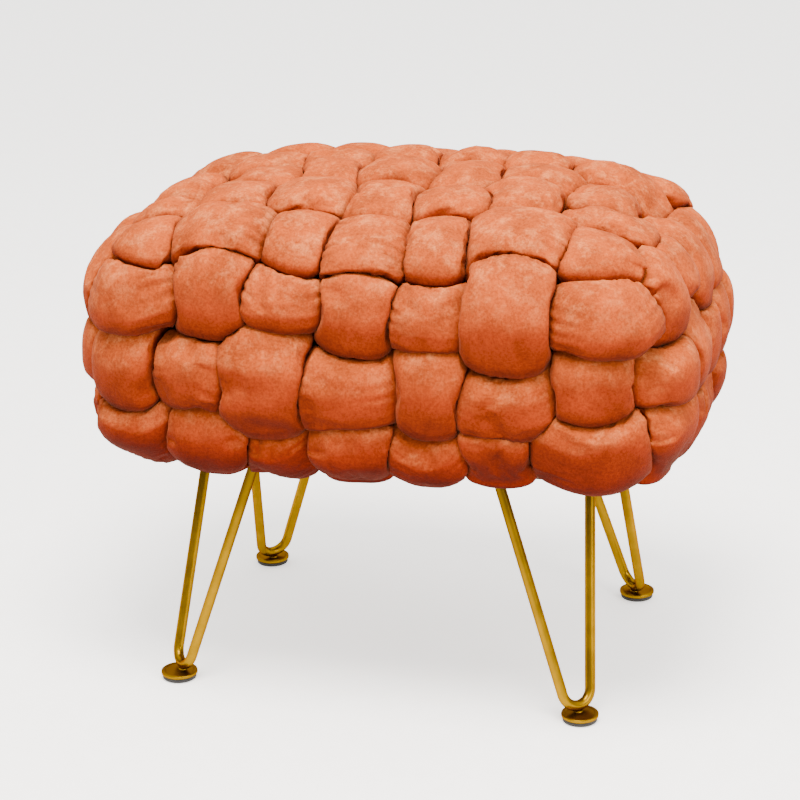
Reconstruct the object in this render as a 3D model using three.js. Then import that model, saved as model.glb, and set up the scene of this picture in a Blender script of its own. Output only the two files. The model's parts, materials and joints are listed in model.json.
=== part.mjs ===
// Woven velvet pouf on four hairpin legs, in millimetres, +Z up.
// The origin is on the floor, under the middle of the seat, and +X runs along the seat.
// The seat is a plain weave of stuffed velvet tubes: seven columns from front to back and
// five rows from left to right lie over the top, and turn down the walls as uprights
// between three bands that go all the way round.
import * as THREE from 'three';

// Seat, as the smooth shape that touches the crowns of the tubes
const SEAT_HALF_X = 269;
const SEAT_HALF_Y = 175;
const SEAT_TOP = 432;
const SEAT_WAIST = 302;
const SEAT_BELOW_WAIST = 124;
const PLAN_ROUNDNESS = 4.6;
const DOME_ROUNDNESS = 3.4;

// Middle lines of the weave: columns along X, rows along Y, bands along Z
const COLUMN_X = [-200, -130, -70, -4, 60, 124, 198];
const ROW_Y = [-131, -68, 2, 62, 118];
const UPRIGHT_Y = [-102, -44, 8, 58, 108];
const BAND_Z = [367, 294, 235];
const RIGHT_BAND_Z = [383, 306, 241];
const CROWN = 7;
const SAG = 5;
const SAG_DEPTH = 34;
const SAG_SQUARENESS = 8;
const SAG_LAYER_POWER = 0.25;
const SAG_FADES_FROM = 362;

// The weave was pulled tight by hand, so some passes sit off the middle lines. Each line is a
// pass: how far it is moved along the two middle lines, how much wider half its tube is, and
// how much further it stands out.
const FRONT_PASSES = [
  { column: 1, band: 1, right: -16, up: -6, wide: -5, rise: 4 },
  { column: 2, band: 1, right: 5, up: 17, wide: 3, rise: 2 },
  { column: 3, band: 1, right: -2, up: 3, wide: -9, rise: 0 },
  { column: 4, band: 1, right: 3, up: 9, wide: 2, rise: 0 },
  { column: 5, band: 1, right: -2, up: -4, wide: -5, rise: -3 },
  { column: 6, band: 1, right: 1, up: 12, wide: 2, rise: 10 },
  { column: 7, band: 1, right: 10, up: 2, wide: -6, rise: 8 },
  { column: 1, band: 2, right: -17, up: -10, wide: -2, rise: 0 },
  { column: 2, band: 2, right: -8, up: 2, wide: -2, rise: 0 },
  { column: 3, band: 2, right: -13, up: -3, wide: 8, rise: 6 },
  { column: 4, band: 2, right: -13, up: -4, wide: -1, rise: 2 },
  { column: 5, band: 2, right: 0, up: 0, wide: -2, rise: 0 },
  { column: 6, band: 2, right: -6, up: -6, wide: -3, rise: 0 },
  { column: 7, band: 2, right: -3, up: 13, wide: -2, rise: 0 },
  { column: 1, band: 3, right: -16, up: -17, wide: 3, rise: 4 },
  { column: 2, band: 3, right: -5, up: -6, wide: 9, rise: 2 },
  { column: 3, band: 3, right: -12, up: -23, wide: -6, rise: -2 },
  { column: 4, band: 3, right: -5, up: 0, wide: 4, rise: 2 },
  { column: 5, band: 3, right: -5, up: -10, wide: -13, rise: 0 },
  { column: 6, band: 3, right: -11, up: 17, wide: -3, rise: -2 },
  { column: 7, band: 3, right: 10, up: 11, wide: -1, rise: 4 },
];
const TOP_PASSES = [
  { column: 1, row: 1, right: 0, back: 2, wide: -2, rise: 0 },
  { column: 2, row: 1, right: 6, back: 6, wide: -1, rise: 4 },
  { column: 3, row: 1, right: 10, back: -3, wide: 3, rise: 0 },
  { column: 4, row: 1, right: 4, back: -4, wide: 0, rise: 1 },
  { column: 5, row: 1, right: -2, back: -2, wide: -2, rise: 0 },
  { column: 6, row: 1, right: 2, back: 18, wide: 4, rise: 5 },
  { column: 7, row: 1, right: -3, back: 18, wide: 10, rise: 0 },
  { column: 1, row: 2, right: -4, back: 2, wide: -12, rise: -3 },
  { column: 2, row: 2, right: 0, back: -4, wide: 0, rise: 0 },
  { column: 3, row: 2, right: 6, back: 4, wide: 0, rise: 2 },
  { column: 5, row: 2, right: -2, back: 8, wide: -6, rise: 0 },
  { column: 6, row: 2, right: -16, back: 34, wide: 0, rise: 3 },
  { column: 7, row: 2, right: 0, back: 20, wide: -2, rise: 0 },
  { column: 1, row: 3, right: 0, back: -6, wide: -4, rise: -2 },
  { column: 2, row: 3, right: 4, back: -6, wide: 0, rise: -4 },
  { column: 3, row: 3, right: 0, back: 4, wide: -4, rise: 0 },
  { column: 4, row: 3, right: -8, back: 10, wide: 0, rise: 1 },
  { column: 5, row: 3, right: -8, back: 14, wide: 0, rise: 1 },
  { column: 6, row: 3, right: -13, back: 20, wide: 2, rise: 2 },
  { column: 7, row: 3, right: -27, back: -4, wide: -2, rise: 0 },
  { column: 1, row: 4, right: -4, back: 0, wide: -8, rise: -4 },
  { column: 2, row: 4, right: -5, back: -18, wide: 6, rise: -2 },
  { column: 3, row: 4, right: -6, back: -8, wide: 6, rise: -2 },
  { column: 4, row: 4, right: -12, back: 8, wide: 0, rise: 2 },
  { column: 5, row: 4, right: -14, back: 12, wide: 0, rise: 3 },
  { column: 6, row: 4, right: -26, back: 14, wide: 2, rise: 3 },
  { column: 7, row: 4, right: -24, back: 10, wide: 6, rise: 2 },
];
const RIGHT_PASSES = [
  { row: 1, band: 1, back: 12, up: 5, wide: -5, rise: 0 },
  { row: 2, band: 1, back: 0, up: 8, wide: -8, rise: 0 },
  { row: 3, band: 1, back: 0, up: -3, wide: 0, rise: -2 },
  { row: 4, band: 1, back: 0, up: -8, wide: 0, rise: -5 },
  { row: 5, band: 1, back: 0, up: -8, wide: 0, rise: -6 },
  { row: 1, band: 2, back: -8, up: 0, wide: -7, rise: 0 },
  { row: 2, band: 2, back: 0, up: 6, wide: 2, rise: 0 },
  { row: 1, band: 3, back: 0, up: 20, wide: 6, rise: 0 },
];

// Stuffed tube, where it lies on top and where it dives under
const OVER = { halfWidth: 38, halfDepth: 25 };
const UNDER = { halfWidth: 26, halfDepth: 14 };
const DIVE = 33;
const DIVE_LATE = 1.6;
const TUBE_GAP = 0.8;
const TUBE_FULLNESS = 2.4;
const CREASE_SHARPNESS = 14;
const DIRECTION_STEP = 0.001;
const LENGTH_STEPS = 12;
const CONTACT_STEP = 5;
const CONTACT_REACH = 95;
const DRAW_IN_ROUNDS = 260;
const DRAW_IN_SHARE = 0.05;
const OVER_YIELD = 0.3;
const SIDE_MARGIN = 0.045;
const FACET_SPOTS = [
  [1 / 3, 1 / 3, 1 / 3], [1 / 2, 1 / 2, 0], [0, 1 / 2, 1 / 2], [1 / 2, 0, 1 / 2],
  [2 / 3, 1 / 6, 1 / 6], [1 / 6, 2 / 3, 1 / 6], [1 / 6, 1 / 6, 2 / 3],
];
const TUBE_SIDES = 8;
// Cross sections at each crossing, in shares of the way to the next one
const OVER_SECTIONS = [-0.38, -0.13, 0.13, 0.38];
const UNDER_SECTIONS = [-0.3, 0, 0.3];

// Ends of the uprights: a pass on top is tucked in below the lowest band, and a pass
// underneath stands on the base board
const TUCKED_END = { z: 210, depth: 34, halfWidth: 30, halfDepth: 14 };
const STANDING_END = { z: 229, depth: 54, halfWidth: 22, halfDepth: 13 };

// Base board
const BOARD_HALF_X = 216;
const BOARD_HALF_Y = 126;
const BOARD_CORNER = 45;
const BOARD_BOTTOM = 213;
const BOARD_THICK = 12;
const STOP_MARGIN = 2.5;
const CLEARANCE = 0.35;

// The space inside the weave, which the tubes keep out of
const INSIDE_LOW = { x: -166, y: -86, z: 226 };
const INSIDE_HIGH = { x: 189, y: 88, z: 350 };

// Hairpin legs: offsets run inwards from the middle of the foot
const FOOT_X = 180;
const FOOT_Y = 132;
const ROD_RADIUS = 4.5;
const ROD_SIDES = 10;
const BEND_RADIUS = 14.5;
const BEND_STEPS = 10;
const BEND_OFFSET = { x: 2, y: 3 };
const OUTER_ROD_TOP = { x: 10, y: 84 };
const INNER_ROD_TOP = { x: 75, y: 14 };
const PLATE_CORNERS = [[2, 98], [2, 74], [62, 7], [90, 7], [90, 98]];
const PLATE_CORNER_CUT = 8;
const PLATE_THICK = 2.5;
const DISC_RADIUS = 16;
const DISC_THICK = 3;
const PAD_RADIUS = 14.8;
const PAD_THICK = 3.5;
const FOOT_SIDES = 20;
const EDGE = 0.7;

const group = new THREE.Group();
const finish = (color, roughness, metalness) => () => (
  new THREE.MeshStandardMaterial({ color, roughness, metalness }));
const velvet = finish(0xc9683a, 0.85, 0);
const brassPlated = finish(0xb8901f, 0.35, 0.9);
const rubber = finish(0x1c1b1a, 0.8, 0);
const plywood = finish(0x6e5740, 0.75, 0);

function addPiece(name, geometry, material) {
  const mesh = new THREE.Mesh(geometry, material());
  mesh.name = name;
  group.add(mesh);
  return mesh;
}

// The smooth seat: a rounded box in plan, with a domed top and a tucked lower edge
const planTerm = (x, y) => (
  Math.abs(x / SEAT_HALF_X) ** PLAN_ROUNDNESS + Math.abs(y / SEAT_HALF_Y) ** PLAN_ROUNDNESS);
const riseAt = (z) => (z > SEAT_WAIST ? SEAT_TOP - SEAT_WAIST : SEAT_BELOW_WAIST);

function seatNormal(p) {
  const planPull = Math.max(planTerm(p.x, p.y), 1e-9) ** (DOME_ROUNDNESS / PLAN_ROUNDNESS - 1);
  const pull = (v, half, power) => Math.sign(v) * Math.abs(v / half) ** (power - 1) / half;
  return new THREE.Vector3(
    planPull * pull(p.x, SEAT_HALF_X, PLAN_ROUNDNESS),
    planPull * pull(p.y, SEAT_HALF_Y, PLAN_ROUNDNESS),
    pull(p.z - SEAT_WAIST, riseAt(p.z), DOME_ROUNDNESS),
  ).normalize();
}

function onTop(x, y) {
  const share = 1 - planTerm(x, y) ** (DOME_ROUNDNESS / PLAN_ROUNDNESS);
  const crown = CROWN * (1 - (x / SEAT_HALF_X) ** 2) * (1 - (y / SEAT_HALF_Y) ** 2);
  const dome = riseAt(SEAT_TOP) * share ** (1 / DOME_ROUNDNESS);
  return new THREE.Vector3(x, y, SEAT_WAIST + dome + crown);
}

function wallReach(share, half, z) {
  const height = Math.abs((z - SEAT_WAIST) / riseAt(z)) ** DOME_ROUNDNESS;
  const plan = (1 - height) ** (PLAN_ROUNDNESS / DOME_ROUNDNESS);
  return half * (plan - Math.abs(share) ** PLAN_ROUNDNESS) ** (1 / PLAN_ROUNDNESS);
}

const onFront = (x, z) => new THREE.Vector3(x, -wallReach(x / SEAT_HALF_X, SEAT_HALF_Y, z), z);
const onBack = (x, z) => new THREE.Vector3(x, wallReach(x / SEAT_HALF_X, SEAT_HALF_Y, z), z);
const onRight = (y, z) => new THREE.Vector3(wallReach(y / SEAT_HALF_Y, SEAT_HALF_X, z), y, z);
const onLeft = (y, z) => new THREE.Vector3(-wallReach(y / SEAT_HALF_Y, SEAT_HALF_X, z), y, z);

const EVEN_PASS = { right: 0, up: 0, back: 0, wide: 0, rise: 0 };
const frontPass = (column, band) => (
  FRONT_PASSES.find((pass) => pass.column === column && pass.band === band));
const topPass = (column, row) => (
  TOP_PASSES.find((pass) => pass.column === column && pass.row === row) ?? EVEN_PASS);
const rightPass = (row, band) => (
  RIGHT_PASSES.find((pass) => pass.row === row && pass.band === band) ?? EVEN_PASS);

function frontPlace(column, band) {
  const pass = frontPass(column, band);
  return onFront(COLUMN_X[column - 1] + pass.right, BAND_Z[band - 1] + pass.up);
}

function topPlace(column, row) {
  const pass = topPass(column, row);
  return onTop(COLUMN_X[column - 1] + pass.right, ROW_Y[row - 1] + pass.back);
}

function rightPlace(row, band) {
  const pass = rightPass(row, band);
  return onRight(UPRIGHT_Y[row - 1] + pass.back, RIGHT_BAND_Z[band - 1] + pass.up);
}

// A knot is where a tube passes a crossing, over or under the other tube: its place on the
// smooth seat, and how deep the tube's middle lies under it
function knot(place, isOver, pass = EVEN_PASS) {
  const size = isOver ? OVER : UNDER;
  return {
    place,
    normal: seatNormal(place),
    depth: OVER.halfDepth + (isOver ? -pass.rise : DIVE),
    halfWidth: size.halfWidth + (isOver ? pass.wide : 0),
    halfDepth: size.halfDepth,
    isOver,
    isEnd: false,
  };
}

function endKnot(place, isOver, pass = EVEN_PASS) {
  const end = isOver ? TUCKED_END : STANDING_END;
  return {
    place: place.clone().setZ(end.z + (isOver ? pass.up / 2 : 0)),
    normal: seatNormal(place).setZ(0).normalize(),
    depth: end.depth,
    halfWidth: end.halfWidth,
    halfDepth: end.halfDepth,
    isOver,
    isEnd: true,
  };
}

const isOdd = (n) => n % 2 === 1;
const columns = COLUMN_X.map((x, i) => i + 1);
const rows = ROW_Y.map((y, i) => i + 1);
const bands = BAND_Z.map((z, i) => i + 1);
const columnOverRow = (column, row) => !isOdd(column + row);
const columnOverBand = (column, band) => isOdd(column + band);
const rowOverBand = (row, band) => !isOdd(row + band);

const topBandFirst = (columnOrRow, place, isOverBand, passOf) => bands.map((band) => (
  knot(place(columnOrRow, band), isOverBand(columnOrRow, band), passOf(columnOrRow, band))));
const noPass = () => EVEN_PASS;

// An upright runs down a wall from the top band to its end at the base board
function upright(columnOrRow, place, isOverBand, passOf = noPass) {
  const last = bands.at(-1);
  const end = endKnot(
    place(columnOrRow, last), isOverBand(columnOrRow, last), passOf(columnOrRow, last));
  return [...topBandFirst(columnOrRow, place, isOverBand, passOf), end];
}

const backPlace = (column, band) => onBack(COLUMN_X[column - 1], BAND_Z[band - 1]);
const leftPlace = (row, band) => onLeft(UPRIGHT_Y[row - 1], BAND_Z[band - 1]);

function columnKnots(column) {
  const top = rows.map((row) => (
    knot(topPlace(column, row), columnOverRow(column, row), topPass(column, row))));
  return [
    ...upright(column, frontPlace, columnOverBand, frontPass).reverse(),
    ...top,
    ...upright(column, backPlace, columnOverBand),
  ];
}

function rowKnots(row) {
  const top = columns.map((column) => (
    knot(topPlace(column, row), !columnOverRow(column, row), topPass(column, row))));
  return [
    ...upright(row, leftPlace, rowOverBand).reverse(),
    ...top,
    ...upright(row, rightPlace, rowOverBand, rightPass),
  ];
}

function bandKnots(band) {
  const underColumns = (place, passOf = noPass) => columns.map((column) => (
    knot(place(column, band), !columnOverBand(column, band), passOf(column, band))));
  const underRows = (place, passOf = noPass) => rows.map((row) => (
    knot(place(row, band), !rowOverBand(row, band), passOf(row, band))));
  return [
    ...underColumns(frontPlace, frontPass),
    ...underRows(rightPlace, rightPass),
    ...underColumns(backPlace).reverse(),
    ...underRows(leftPlace).reverse(),
  ];
}

// A tube stays up over most of its pass, and dives late
function diveBlend(a, b, way) {
  const ease = (t) => THREE.MathUtils.smoothstep(t, 0, 1);
  if (!a.isEnd && !b.isEnd && a.isOver && !b.isOver) return ease(way ** DIVE_LATE);
  if (!a.isEnd && !b.isEnd && !a.isOver && b.isOver) return 1 - ease((1 - way) ** DIVE_LATE);
  return ease(way);
}

// A tube's middle line, with its frame and half sizes at any place along it.
// A place is counted in knots: 2.5 is half way from the third knot to the fourth.
function makeStrand(name, knots, isLoop) {
  const line = new THREE.CatmullRomCurve3(knots.map((k) => k.place), isLoop, 'catmullrom', 0.5);
  const spans = isLoop ? knots.length : knots.length - 1;
  const middleAt = (place) => {
    const share = isLoop ? (place / spans + 1) % 1 : THREE.MathUtils.clamp(place / spans, 0, 1);
    const first = Math.min(Math.floor(share * spans), isLoop ? spans : spans - 1);
    const a = knots[first % knots.length];
    const b = knots[(first + 1) % knots.length];
    const way = share * spans - first;
    const blend = diveBlend(a, b, way);
    const out = a.normal.clone().lerp(b.normal, way).normalize();
    const depth = THREE.MathUtils.lerp(a.depth, b.depth, blend);
    const halfWidth = THREE.MathUtils.lerp(a.halfWidth, b.halfWidth, blend);
    const halfDepth = THREE.MathUtils.lerp(a.halfDepth, b.halfDepth, blend);
    const centre = line.getPoint(share).addScaledVector(out, -depth);
    // A pass on top keeps its shape better than the hidden part of a tube
    const nearest = way < 0.5 ? a : b;
    const yields = nearest.isOver && !nearest.isEnd ? OVER_YIELD : 1;
    return { centre, out, halfWidth, halfDepth, yields };
  };
  const at = (place) => {
    const middle = middleAt(place);
    const before = middleAt(place - DIRECTION_STEP).centre;
    const along = middleAt(place + DIRECTION_STEP).centre.sub(before).normalize();
    const across = new THREE.Vector3().crossVectors(along, middle.out).normalize();
    return { ...middle, along, across, out: new THREE.Vector3().crossVectors(across, along) };
  };
  const steps = Array.from({ length: spans * LENGTH_STEPS + 1 }, (_, i) => (
    middleAt(i / LENGTH_STEPS).centre));
  const length = steps.slice(1).reduce((sum, step, i) => sum + step.distanceTo(steps[i]), 0);
  return { name, knots, isLoop, spans, at, length };
}

function sectionPlaces(strand) {
  const places = [];
  strand.knots.forEach((k, i) => {
    const isEnd = !strand.isLoop && (i === 0 || i === strand.knots.length - 1);
    if (isEnd) places.push(i);
    else places.push(...(k.isOver ? OVER_SECTIONS : UNDER_SECTIONS).map((step) => i + step));
  });
  return places;
}

function contactSamples(strand) {
  const count = Math.ceil(strand.length / CONTACT_STEP);
  return Array.from({ length: count + 1 }, (_, i) => strand.at(strand.spans * i / count));
}

// How far along a ray from one tube's middle the two tubes' half sizes are used up equally
function contactReach(section, ray, ownRate, sample) {
  const offset = section.centre.clone().sub(sample.centre);
  const axes = [
    [sample.across, sample.halfWidth],
    [sample.out, sample.halfDepth],
    [sample.along, sample.halfDepth],
  ];
  let squareTerm = -(ownRate ** 2);
  let lineTerm = 0;
  let startTerm = 0;
  for (const [axis, half] of axes) {
    const slope = ray.dot(axis) / half;
    const start = offset.dot(axis) / half;
    squareTerm += slope ** 2;
    lineTerm += slope * start;
    startTerm += start ** 2;
  }
  const rootTerm = lineTerm ** 2 - squareTerm * startTerm;
  if (rootTerm < 0) return Infinity;
  const divisor = Math.sqrt(rootTerm) - lineTerm;
  return divisor > 0 ? startTerm / divisor : Infinity;
}

// What stops a tube besides its neighbours: the base board, and the space inside the weave
const stopBoxes = [
  new THREE.Box3(
    new THREE.Vector3(-BOARD_HALF_X, -BOARD_HALF_Y, BOARD_BOTTOM),
    new THREE.Vector3(BOARD_HALF_X, BOARD_HALF_Y, BOARD_BOTTOM + BOARD_THICK),
  ).expandByScalar(STOP_MARGIN),
  new THREE.Box3(
    new THREE.Vector3().copy(INSIDE_LOW),
    new THREE.Vector3().copy(INSIDE_HIGH),
  ).expandByScalar(STOP_MARGIN),
];

// How far along a ray a box lies
function boxReach(box, origin, ray) {
  const low = box.min.toArray();
  const high = box.max.toArray();
  const from = origin.toArray();
  const towards = ray.toArray();
  let enter = 0;
  let leave = Infinity;
  for (let i = 0; i < low.length; i += 1) {
    const a = (low[i] - from[i]) / towards[i];
    const b = (high[i] - from[i]) / towards[i];
    enter = Math.max(enter, Math.min(a, b));
    leave = Math.min(leave, Math.max(a, b));
  }
  return enter < leave ? enter : Infinity;
}

const nearTo = (samples, centre) => samples.filter((s) => s.centre.distanceTo(centre) < CONTACT_REACH);

// One cross section: the tube swells to its own size and stops where it meets a neighbour
function sectionRays(section, near) {
  return Array.from({ length: TUBE_SIDES }, (_, i) => {
    const turn = 2 * Math.PI * i / TUBE_SIDES + Math.PI / 2;
    const ray = section.across.clone().multiplyScalar(Math.cos(turn))
      .addScaledVector(section.out, Math.sin(turn));
    const widthShare = Math.abs(Math.cos(turn) / section.halfWidth);
    const depthShare = Math.abs(Math.sin(turn) / section.halfDepth);
    const ownRate = Math.hypot(widthShare, depthShare);
    const reaches = near.map((samples) => samples.reduce(
      (least, sample) => Math.min(least, contactReach(section, ray, ownRate, sample)), Infinity));
    stopBoxes.forEach((box) => reaches.push(boxReach(box, section.centre, ray) + TUBE_GAP / 2));
    const free = (widthShare ** TUBE_FULLNESS + depthShare ** TUBE_FULLNESS)
      ** (CREASE_SHARPNESS / TUBE_FULLNESS);
    const sum = reaches.reduce((total, reach) => total + reach ** -CREASE_SHARPNESS, free);
    const radius = sum ** (-1 / CREASE_SHARPNESS) - TUBE_GAP / 2;
    const point = section.centre.clone().addScaledVector(ray, radius);
    return { point, centre: section.centre, yields: section.yields };
  });
}

// The share of its own size that a tube has used up at a point
function useAt(samples, point) {
  const offset = new THREE.Vector3();
  return samples.reduce((least, sample) => {
    offset.subVectors(point, sample.centre);
    return Math.min(least, Math.hypot(
      offset.dot(sample.across) / sample.halfWidth,
      offset.dot(sample.out) / sample.halfDepth,
      offset.dot(sample.along) / sample.halfDepth,
    ));
  }, Infinity);
}

// A flat facet can cut the corner across a neighbour's bulge. Its points are drawn in, a little
// at a time, until the facet keeps to its own side.
function drawIn(rings, isLoop, nearOf, ownOf) {
  const facets = [];
  rings.slice(isLoop ? 0 : 1).forEach((ring, r) => {
    const before = rings.at(isLoop ? r - 1 : r);
    ring.forEach((c, side) => {
      const near = nearOf.at(isLoop ? r - 1 : r);
      const own = ownOf.at(isLoop ? r - 1 : r);
      const b = ring.at(side - 1);
      const [a, d] = [before.at(side - 1), before[side]];
      facets.push({ corners: [a, b, d], near, own }, { corners: [b, c, d], near, own });
    });
  });
  const spot = new THREE.Vector3();
  const wrongSpots = ({ corners, near, own }) => FACET_SPOTS.filter((weights) => {
    spot.set(0, 0, 0);
    corners.forEach((corner, i) => spot.addScaledVector(corner.point, weights[i]));
    const use = useAt(own, spot) + SIDE_MARGIN;
    return stopBoxes.some((box) => box.containsPoint(spot))
      || near.some((samples) => useAt(samples, spot) < use);
  });
  let waiting = facets;
  for (let round = 0; round < DRAW_IN_ROUNDS && waiting.length > 0; round += 1) {
    const shares = new Map();
    waiting.forEach((facet) => wrongSpots(facet).forEach((weights) => facet.corners.forEach((corner, i) => {
      shares.set(corner, Math.max(shares.get(corner) ?? 0, weights[i]));
    })));
    shares.forEach((share, corner) => {
      corner.point.lerp(corner.centre, DRAW_IN_SHARE * share * corner.yields);
    });
    waiting = facets.filter(({ corners }) => corners.some((corner) => shares.has(corner)));
  }
}

// Rings of points along a tube, joined into one closed body
function loft(rings, isLoop) {
  const sides = rings[0].length;
  const index = [];
  const steps = isLoop ? rings.length : rings.length - 1;
  const at = (ring, side) => (ring % rings.length) * sides + (side % sides);
  for (let ring = 0; ring < steps; ring += 1) {
    for (let side = 0; side < sides; side += 1) {
      index.push(at(ring, side), at(ring + 1, side), at(ring, side + 1));
      index.push(at(ring + 1, side), at(ring + 1, side + 1), at(ring, side + 1));
    }
  }
  if (!isLoop) {
    for (let side = 1; side < sides - 1; side += 1) {
      index.push(at(0, 0), at(0, side), at(0, side + 1));
      index.push(at(steps, 0), at(steps, side + 1), at(steps, side));
    }
  }
  const geometry = new THREE.BufferGeometry().setFromPoints(rings.flat());
  geometry.setIndex(index);
  return geometry;
}

// On the walls the outer layer hangs a little lower than what it covers
function sagged(p) {
  const height = Math.abs((p.z - SEAT_WAIST) / riseAt(p.z)) ** SAG_SQUARENESS;
  const inward = SEAT_HALF_Y * (1 - (planTerm(p.x, p.y) + height) ** SAG_LAYER_POWER);
  const outer = 1 - THREE.MathUtils.smoothstep(inward, 0, SAG_DEPTH);
  const wall = 1 - THREE.MathUtils.smoothstep(p.z, SAG_FADES_FROM, SEAT_TOP);
  return p.setZ(p.z - SAG * outer * wall);
}

function strandGeometry(strand, own, neighbours) {
  const sections = sectionPlaces(strand).map(strand.at);
  const ownOf = sections.map(({ centre }) => nearTo(own, centre));
  const nearOf = sections.map(({ centre }) => (
    neighbours.map((samples) => nearTo(samples, centre)).filter((samples) => samples.length > 0)));
  const rings = sections.map((section, i) => sectionRays(section, nearOf[i]));
  drawIn(rings, strand.isLoop, nearOf, ownOf);
  return loft(rings.map((ring) => ring.map(({ point }) => sagged(point))), strand.isLoop);
}

const strands = [
  ...columns.map((column) => makeStrand(`column_${column}`, columnKnots(column), false)),
  ...rows.map((row) => makeStrand(`row_${row}`, rowKnots(row), false)),
  ...bands.map((band) => makeStrand(`band_${band}`, bandKnots(band), true)),
];
const samples = strands.map(contactSamples);
strands.forEach((strand, i) => {
  const neighbours = samples.filter((_, other) => other !== i);
  addPiece(strand.name, strandGeometry(strand, samples[i], neighbours), velvet);
});

// Base board with rounded corners
function roundedRectangle(halfX, halfY, corner) {
  const shape = new THREE.Shape();
  shape.absarc(halfX - corner, halfY - corner, corner, 0, Math.PI / 2);
  shape.absarc(corner - halfX, halfY - corner, corner, Math.PI / 2, Math.PI);
  shape.absarc(corner - halfX, corner - halfY, corner, Math.PI, 1.5 * Math.PI);
  shape.absarc(halfX - corner, corner - halfY, corner, 1.5 * Math.PI, 2 * Math.PI);
  return shape;
}

const extruded = (shape, depth) => new THREE.ExtrudeGeometry(shape, {
  depth, bevelEnabled: false, curveSegments: 6,
});
const boardOutline = roundedRectangle(BOARD_HALF_X, BOARD_HALF_Y, BOARD_CORNER);
addPiece('base_board', extruded(boardOutline, BOARD_THICK), plywood).position.z = BOARD_BOTTOM;

// Hairpin: two straight rods that run on into one round bend at the foot
const PLATE_BOTTOM = BOARD_BOTTOM - CLEARANCE - PLATE_THICK;
const DISC_TOP = PAD_THICK + CLEARANCE + DISC_THICK;
const BEND_BOTTOM = DISC_TOP + CLEARANCE + ROD_RADIUS;
const ROD_TOP = PLATE_BOTTOM - CLEARANCE;

class Hairpin extends THREE.Curve {
  constructor(outerTop, innerTop, bendBottom, bendRadius) {
    super();
    const middle = outerTop.clone().lerp(innerTop, 0.5);
    this.upAxis = middle.clone().sub(bendBottom).normalize();
    this.sideAxis = innerTop.clone().sub(outerTop).normalize();
    this.bendCentre = bendBottom.clone().addScaledVector(this.upAxis, bendRadius);
    this.radius = bendRadius;
    this.ends = [outerTop, innerTop];
    const rise = middle.distanceTo(this.bendCentre);
    const halfSpread = outerTop.distanceTo(innerTop) / 2;
    this.halfArc = Math.atan2(halfSpread, rise) + Math.acos(bendRadius / Math.hypot(halfSpread, rise));
  }

  onBend(angle) {
    return this.bendCentre.clone()
      .addScaledVector(this.sideAxis, this.radius * Math.sin(angle))
      .addScaledVector(this.upAxis, this.radius * Math.cos(angle));
  }

  // The straight rods are one step each, and the bend takes all the others
  bendAngle(t) {
    const step = THREE.MathUtils.clamp(Math.round(t * (BEND_STEPS + 2)), 1, BEND_STEPS + 1);
    return -this.halfArc - 2 * (Math.PI - this.halfArc) * (step - 1) / BEND_STEPS;
  }

  getPointAt(t) {
    if (t === 0) return this.ends[0].clone();
    if (t === 1) return this.ends[1].clone();
    return this.onBend(this.bendAngle(t));
  }

  getTangentAt(t) {
    return this.onBend(this.bendAngle(t) - Math.PI / 2).sub(this.bendCentre).normalize();
  }
}

// The rods are cut level, to stand flat under their plate
function cutLevel(geometry, tops, bendBottom) {
  const position = geometry.getAttribute('position');
  const point = new THREE.Vector3();
  for (let i = 0; i < position.count; i += 1) {
    point.fromBufferAttribute(position, i);
    const top = tops.find((t) => t.distanceTo(point) < 2 * ROD_RADIUS);
    if (top) {
      const lean = top.clone().sub(bendBottom).normalize();
      point.addScaledVector(lean, (top.z - point.z) / lean.z);
      position.setXYZ(i, point.x, point.y, point.z);
    }
  }
  return geometry;
}

function roundedPolygon(corners, cut) {
  const shape = new THREE.Shape();
  corners.forEach((corner, i) => {
    const before = corners.at(i - 1);
    const after = corners[(i + 1) % corners.length];
    const start = corner.clone().add(before.clone().sub(corner).setLength(cut));
    const end = corner.clone().add(after.clone().sub(corner).setLength(cut));
    if (i === 0) shape.moveTo(start.x, start.y);
    else shape.lineTo(start.x, start.y);
    shape.quadraticCurveTo(corner.x, corner.y, end.x, end.y);
  });
  shape.closePath();
  return shape;
}

// A round plate with broken edges, standing on its own middle
function roundPlate(radius, thick) {
  const profile = [
    [0, 0], [radius - EDGE, 0], [radius, EDGE], [radius, thick - EDGE], [radius - EDGE, thick], [0, thick],
  ];
  const lathe = new THREE.LatheGeometry(profile.map(([r, z]) => new THREE.Vector2(r, z)), FOOT_SIDES);
  return lathe.rotateX(Math.PI / 2);
}

function addLeg(corner, signX, signY) {
  const at = (inX, inY, z) => new THREE.Vector3(signX * (FOOT_X - inX), signY * (FOOT_Y - inY), z);
  const flat = ([inX, inY]) => new THREE.Vector2(signX * (FOOT_X - inX), signY * (FOOT_Y - inY));
  const tops = [OUTER_ROD_TOP, INNER_ROD_TOP].map((top) => at(top.x, top.y, ROD_TOP));
  const bendBottom = at(BEND_OFFSET.x, BEND_OFFSET.y, BEND_BOTTOM);
  const path = new Hairpin(tops[0], tops[1], bendBottom, BEND_RADIUS);
  const section = new THREE.Shape().absarc(0, 0, ROD_RADIUS, 0, 2 * Math.PI);
  const rod = new THREE.ExtrudeGeometry(section, {
    steps: BEND_STEPS + 2, extrudePath: path, curveSegments: ROD_SIDES,
  });
  addPiece(`leg_${corner}`, cutLevel(rod, tops, bendBottom), brassPlated);
  const plate = extruded(roundedPolygon(PLATE_CORNERS.map(flat), PLATE_CORNER_CUT), PLATE_THICK);
  addPiece(`mounting_plate_${corner}`, plate, brassPlated).position.z = PLATE_BOTTOM;
  addPiece(`foot_disc_${corner}`, roundPlate(DISC_RADIUS, DISC_THICK), brassPlated)
    .position.copy(at(0, 0, PAD_THICK + CLEARANCE));
  addPiece(`rubber_pad_${corner}`, roundPlate(PAD_RADIUS, PAD_THICK), rubber)
    .position.copy(at(0, 0, 0));
}

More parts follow.
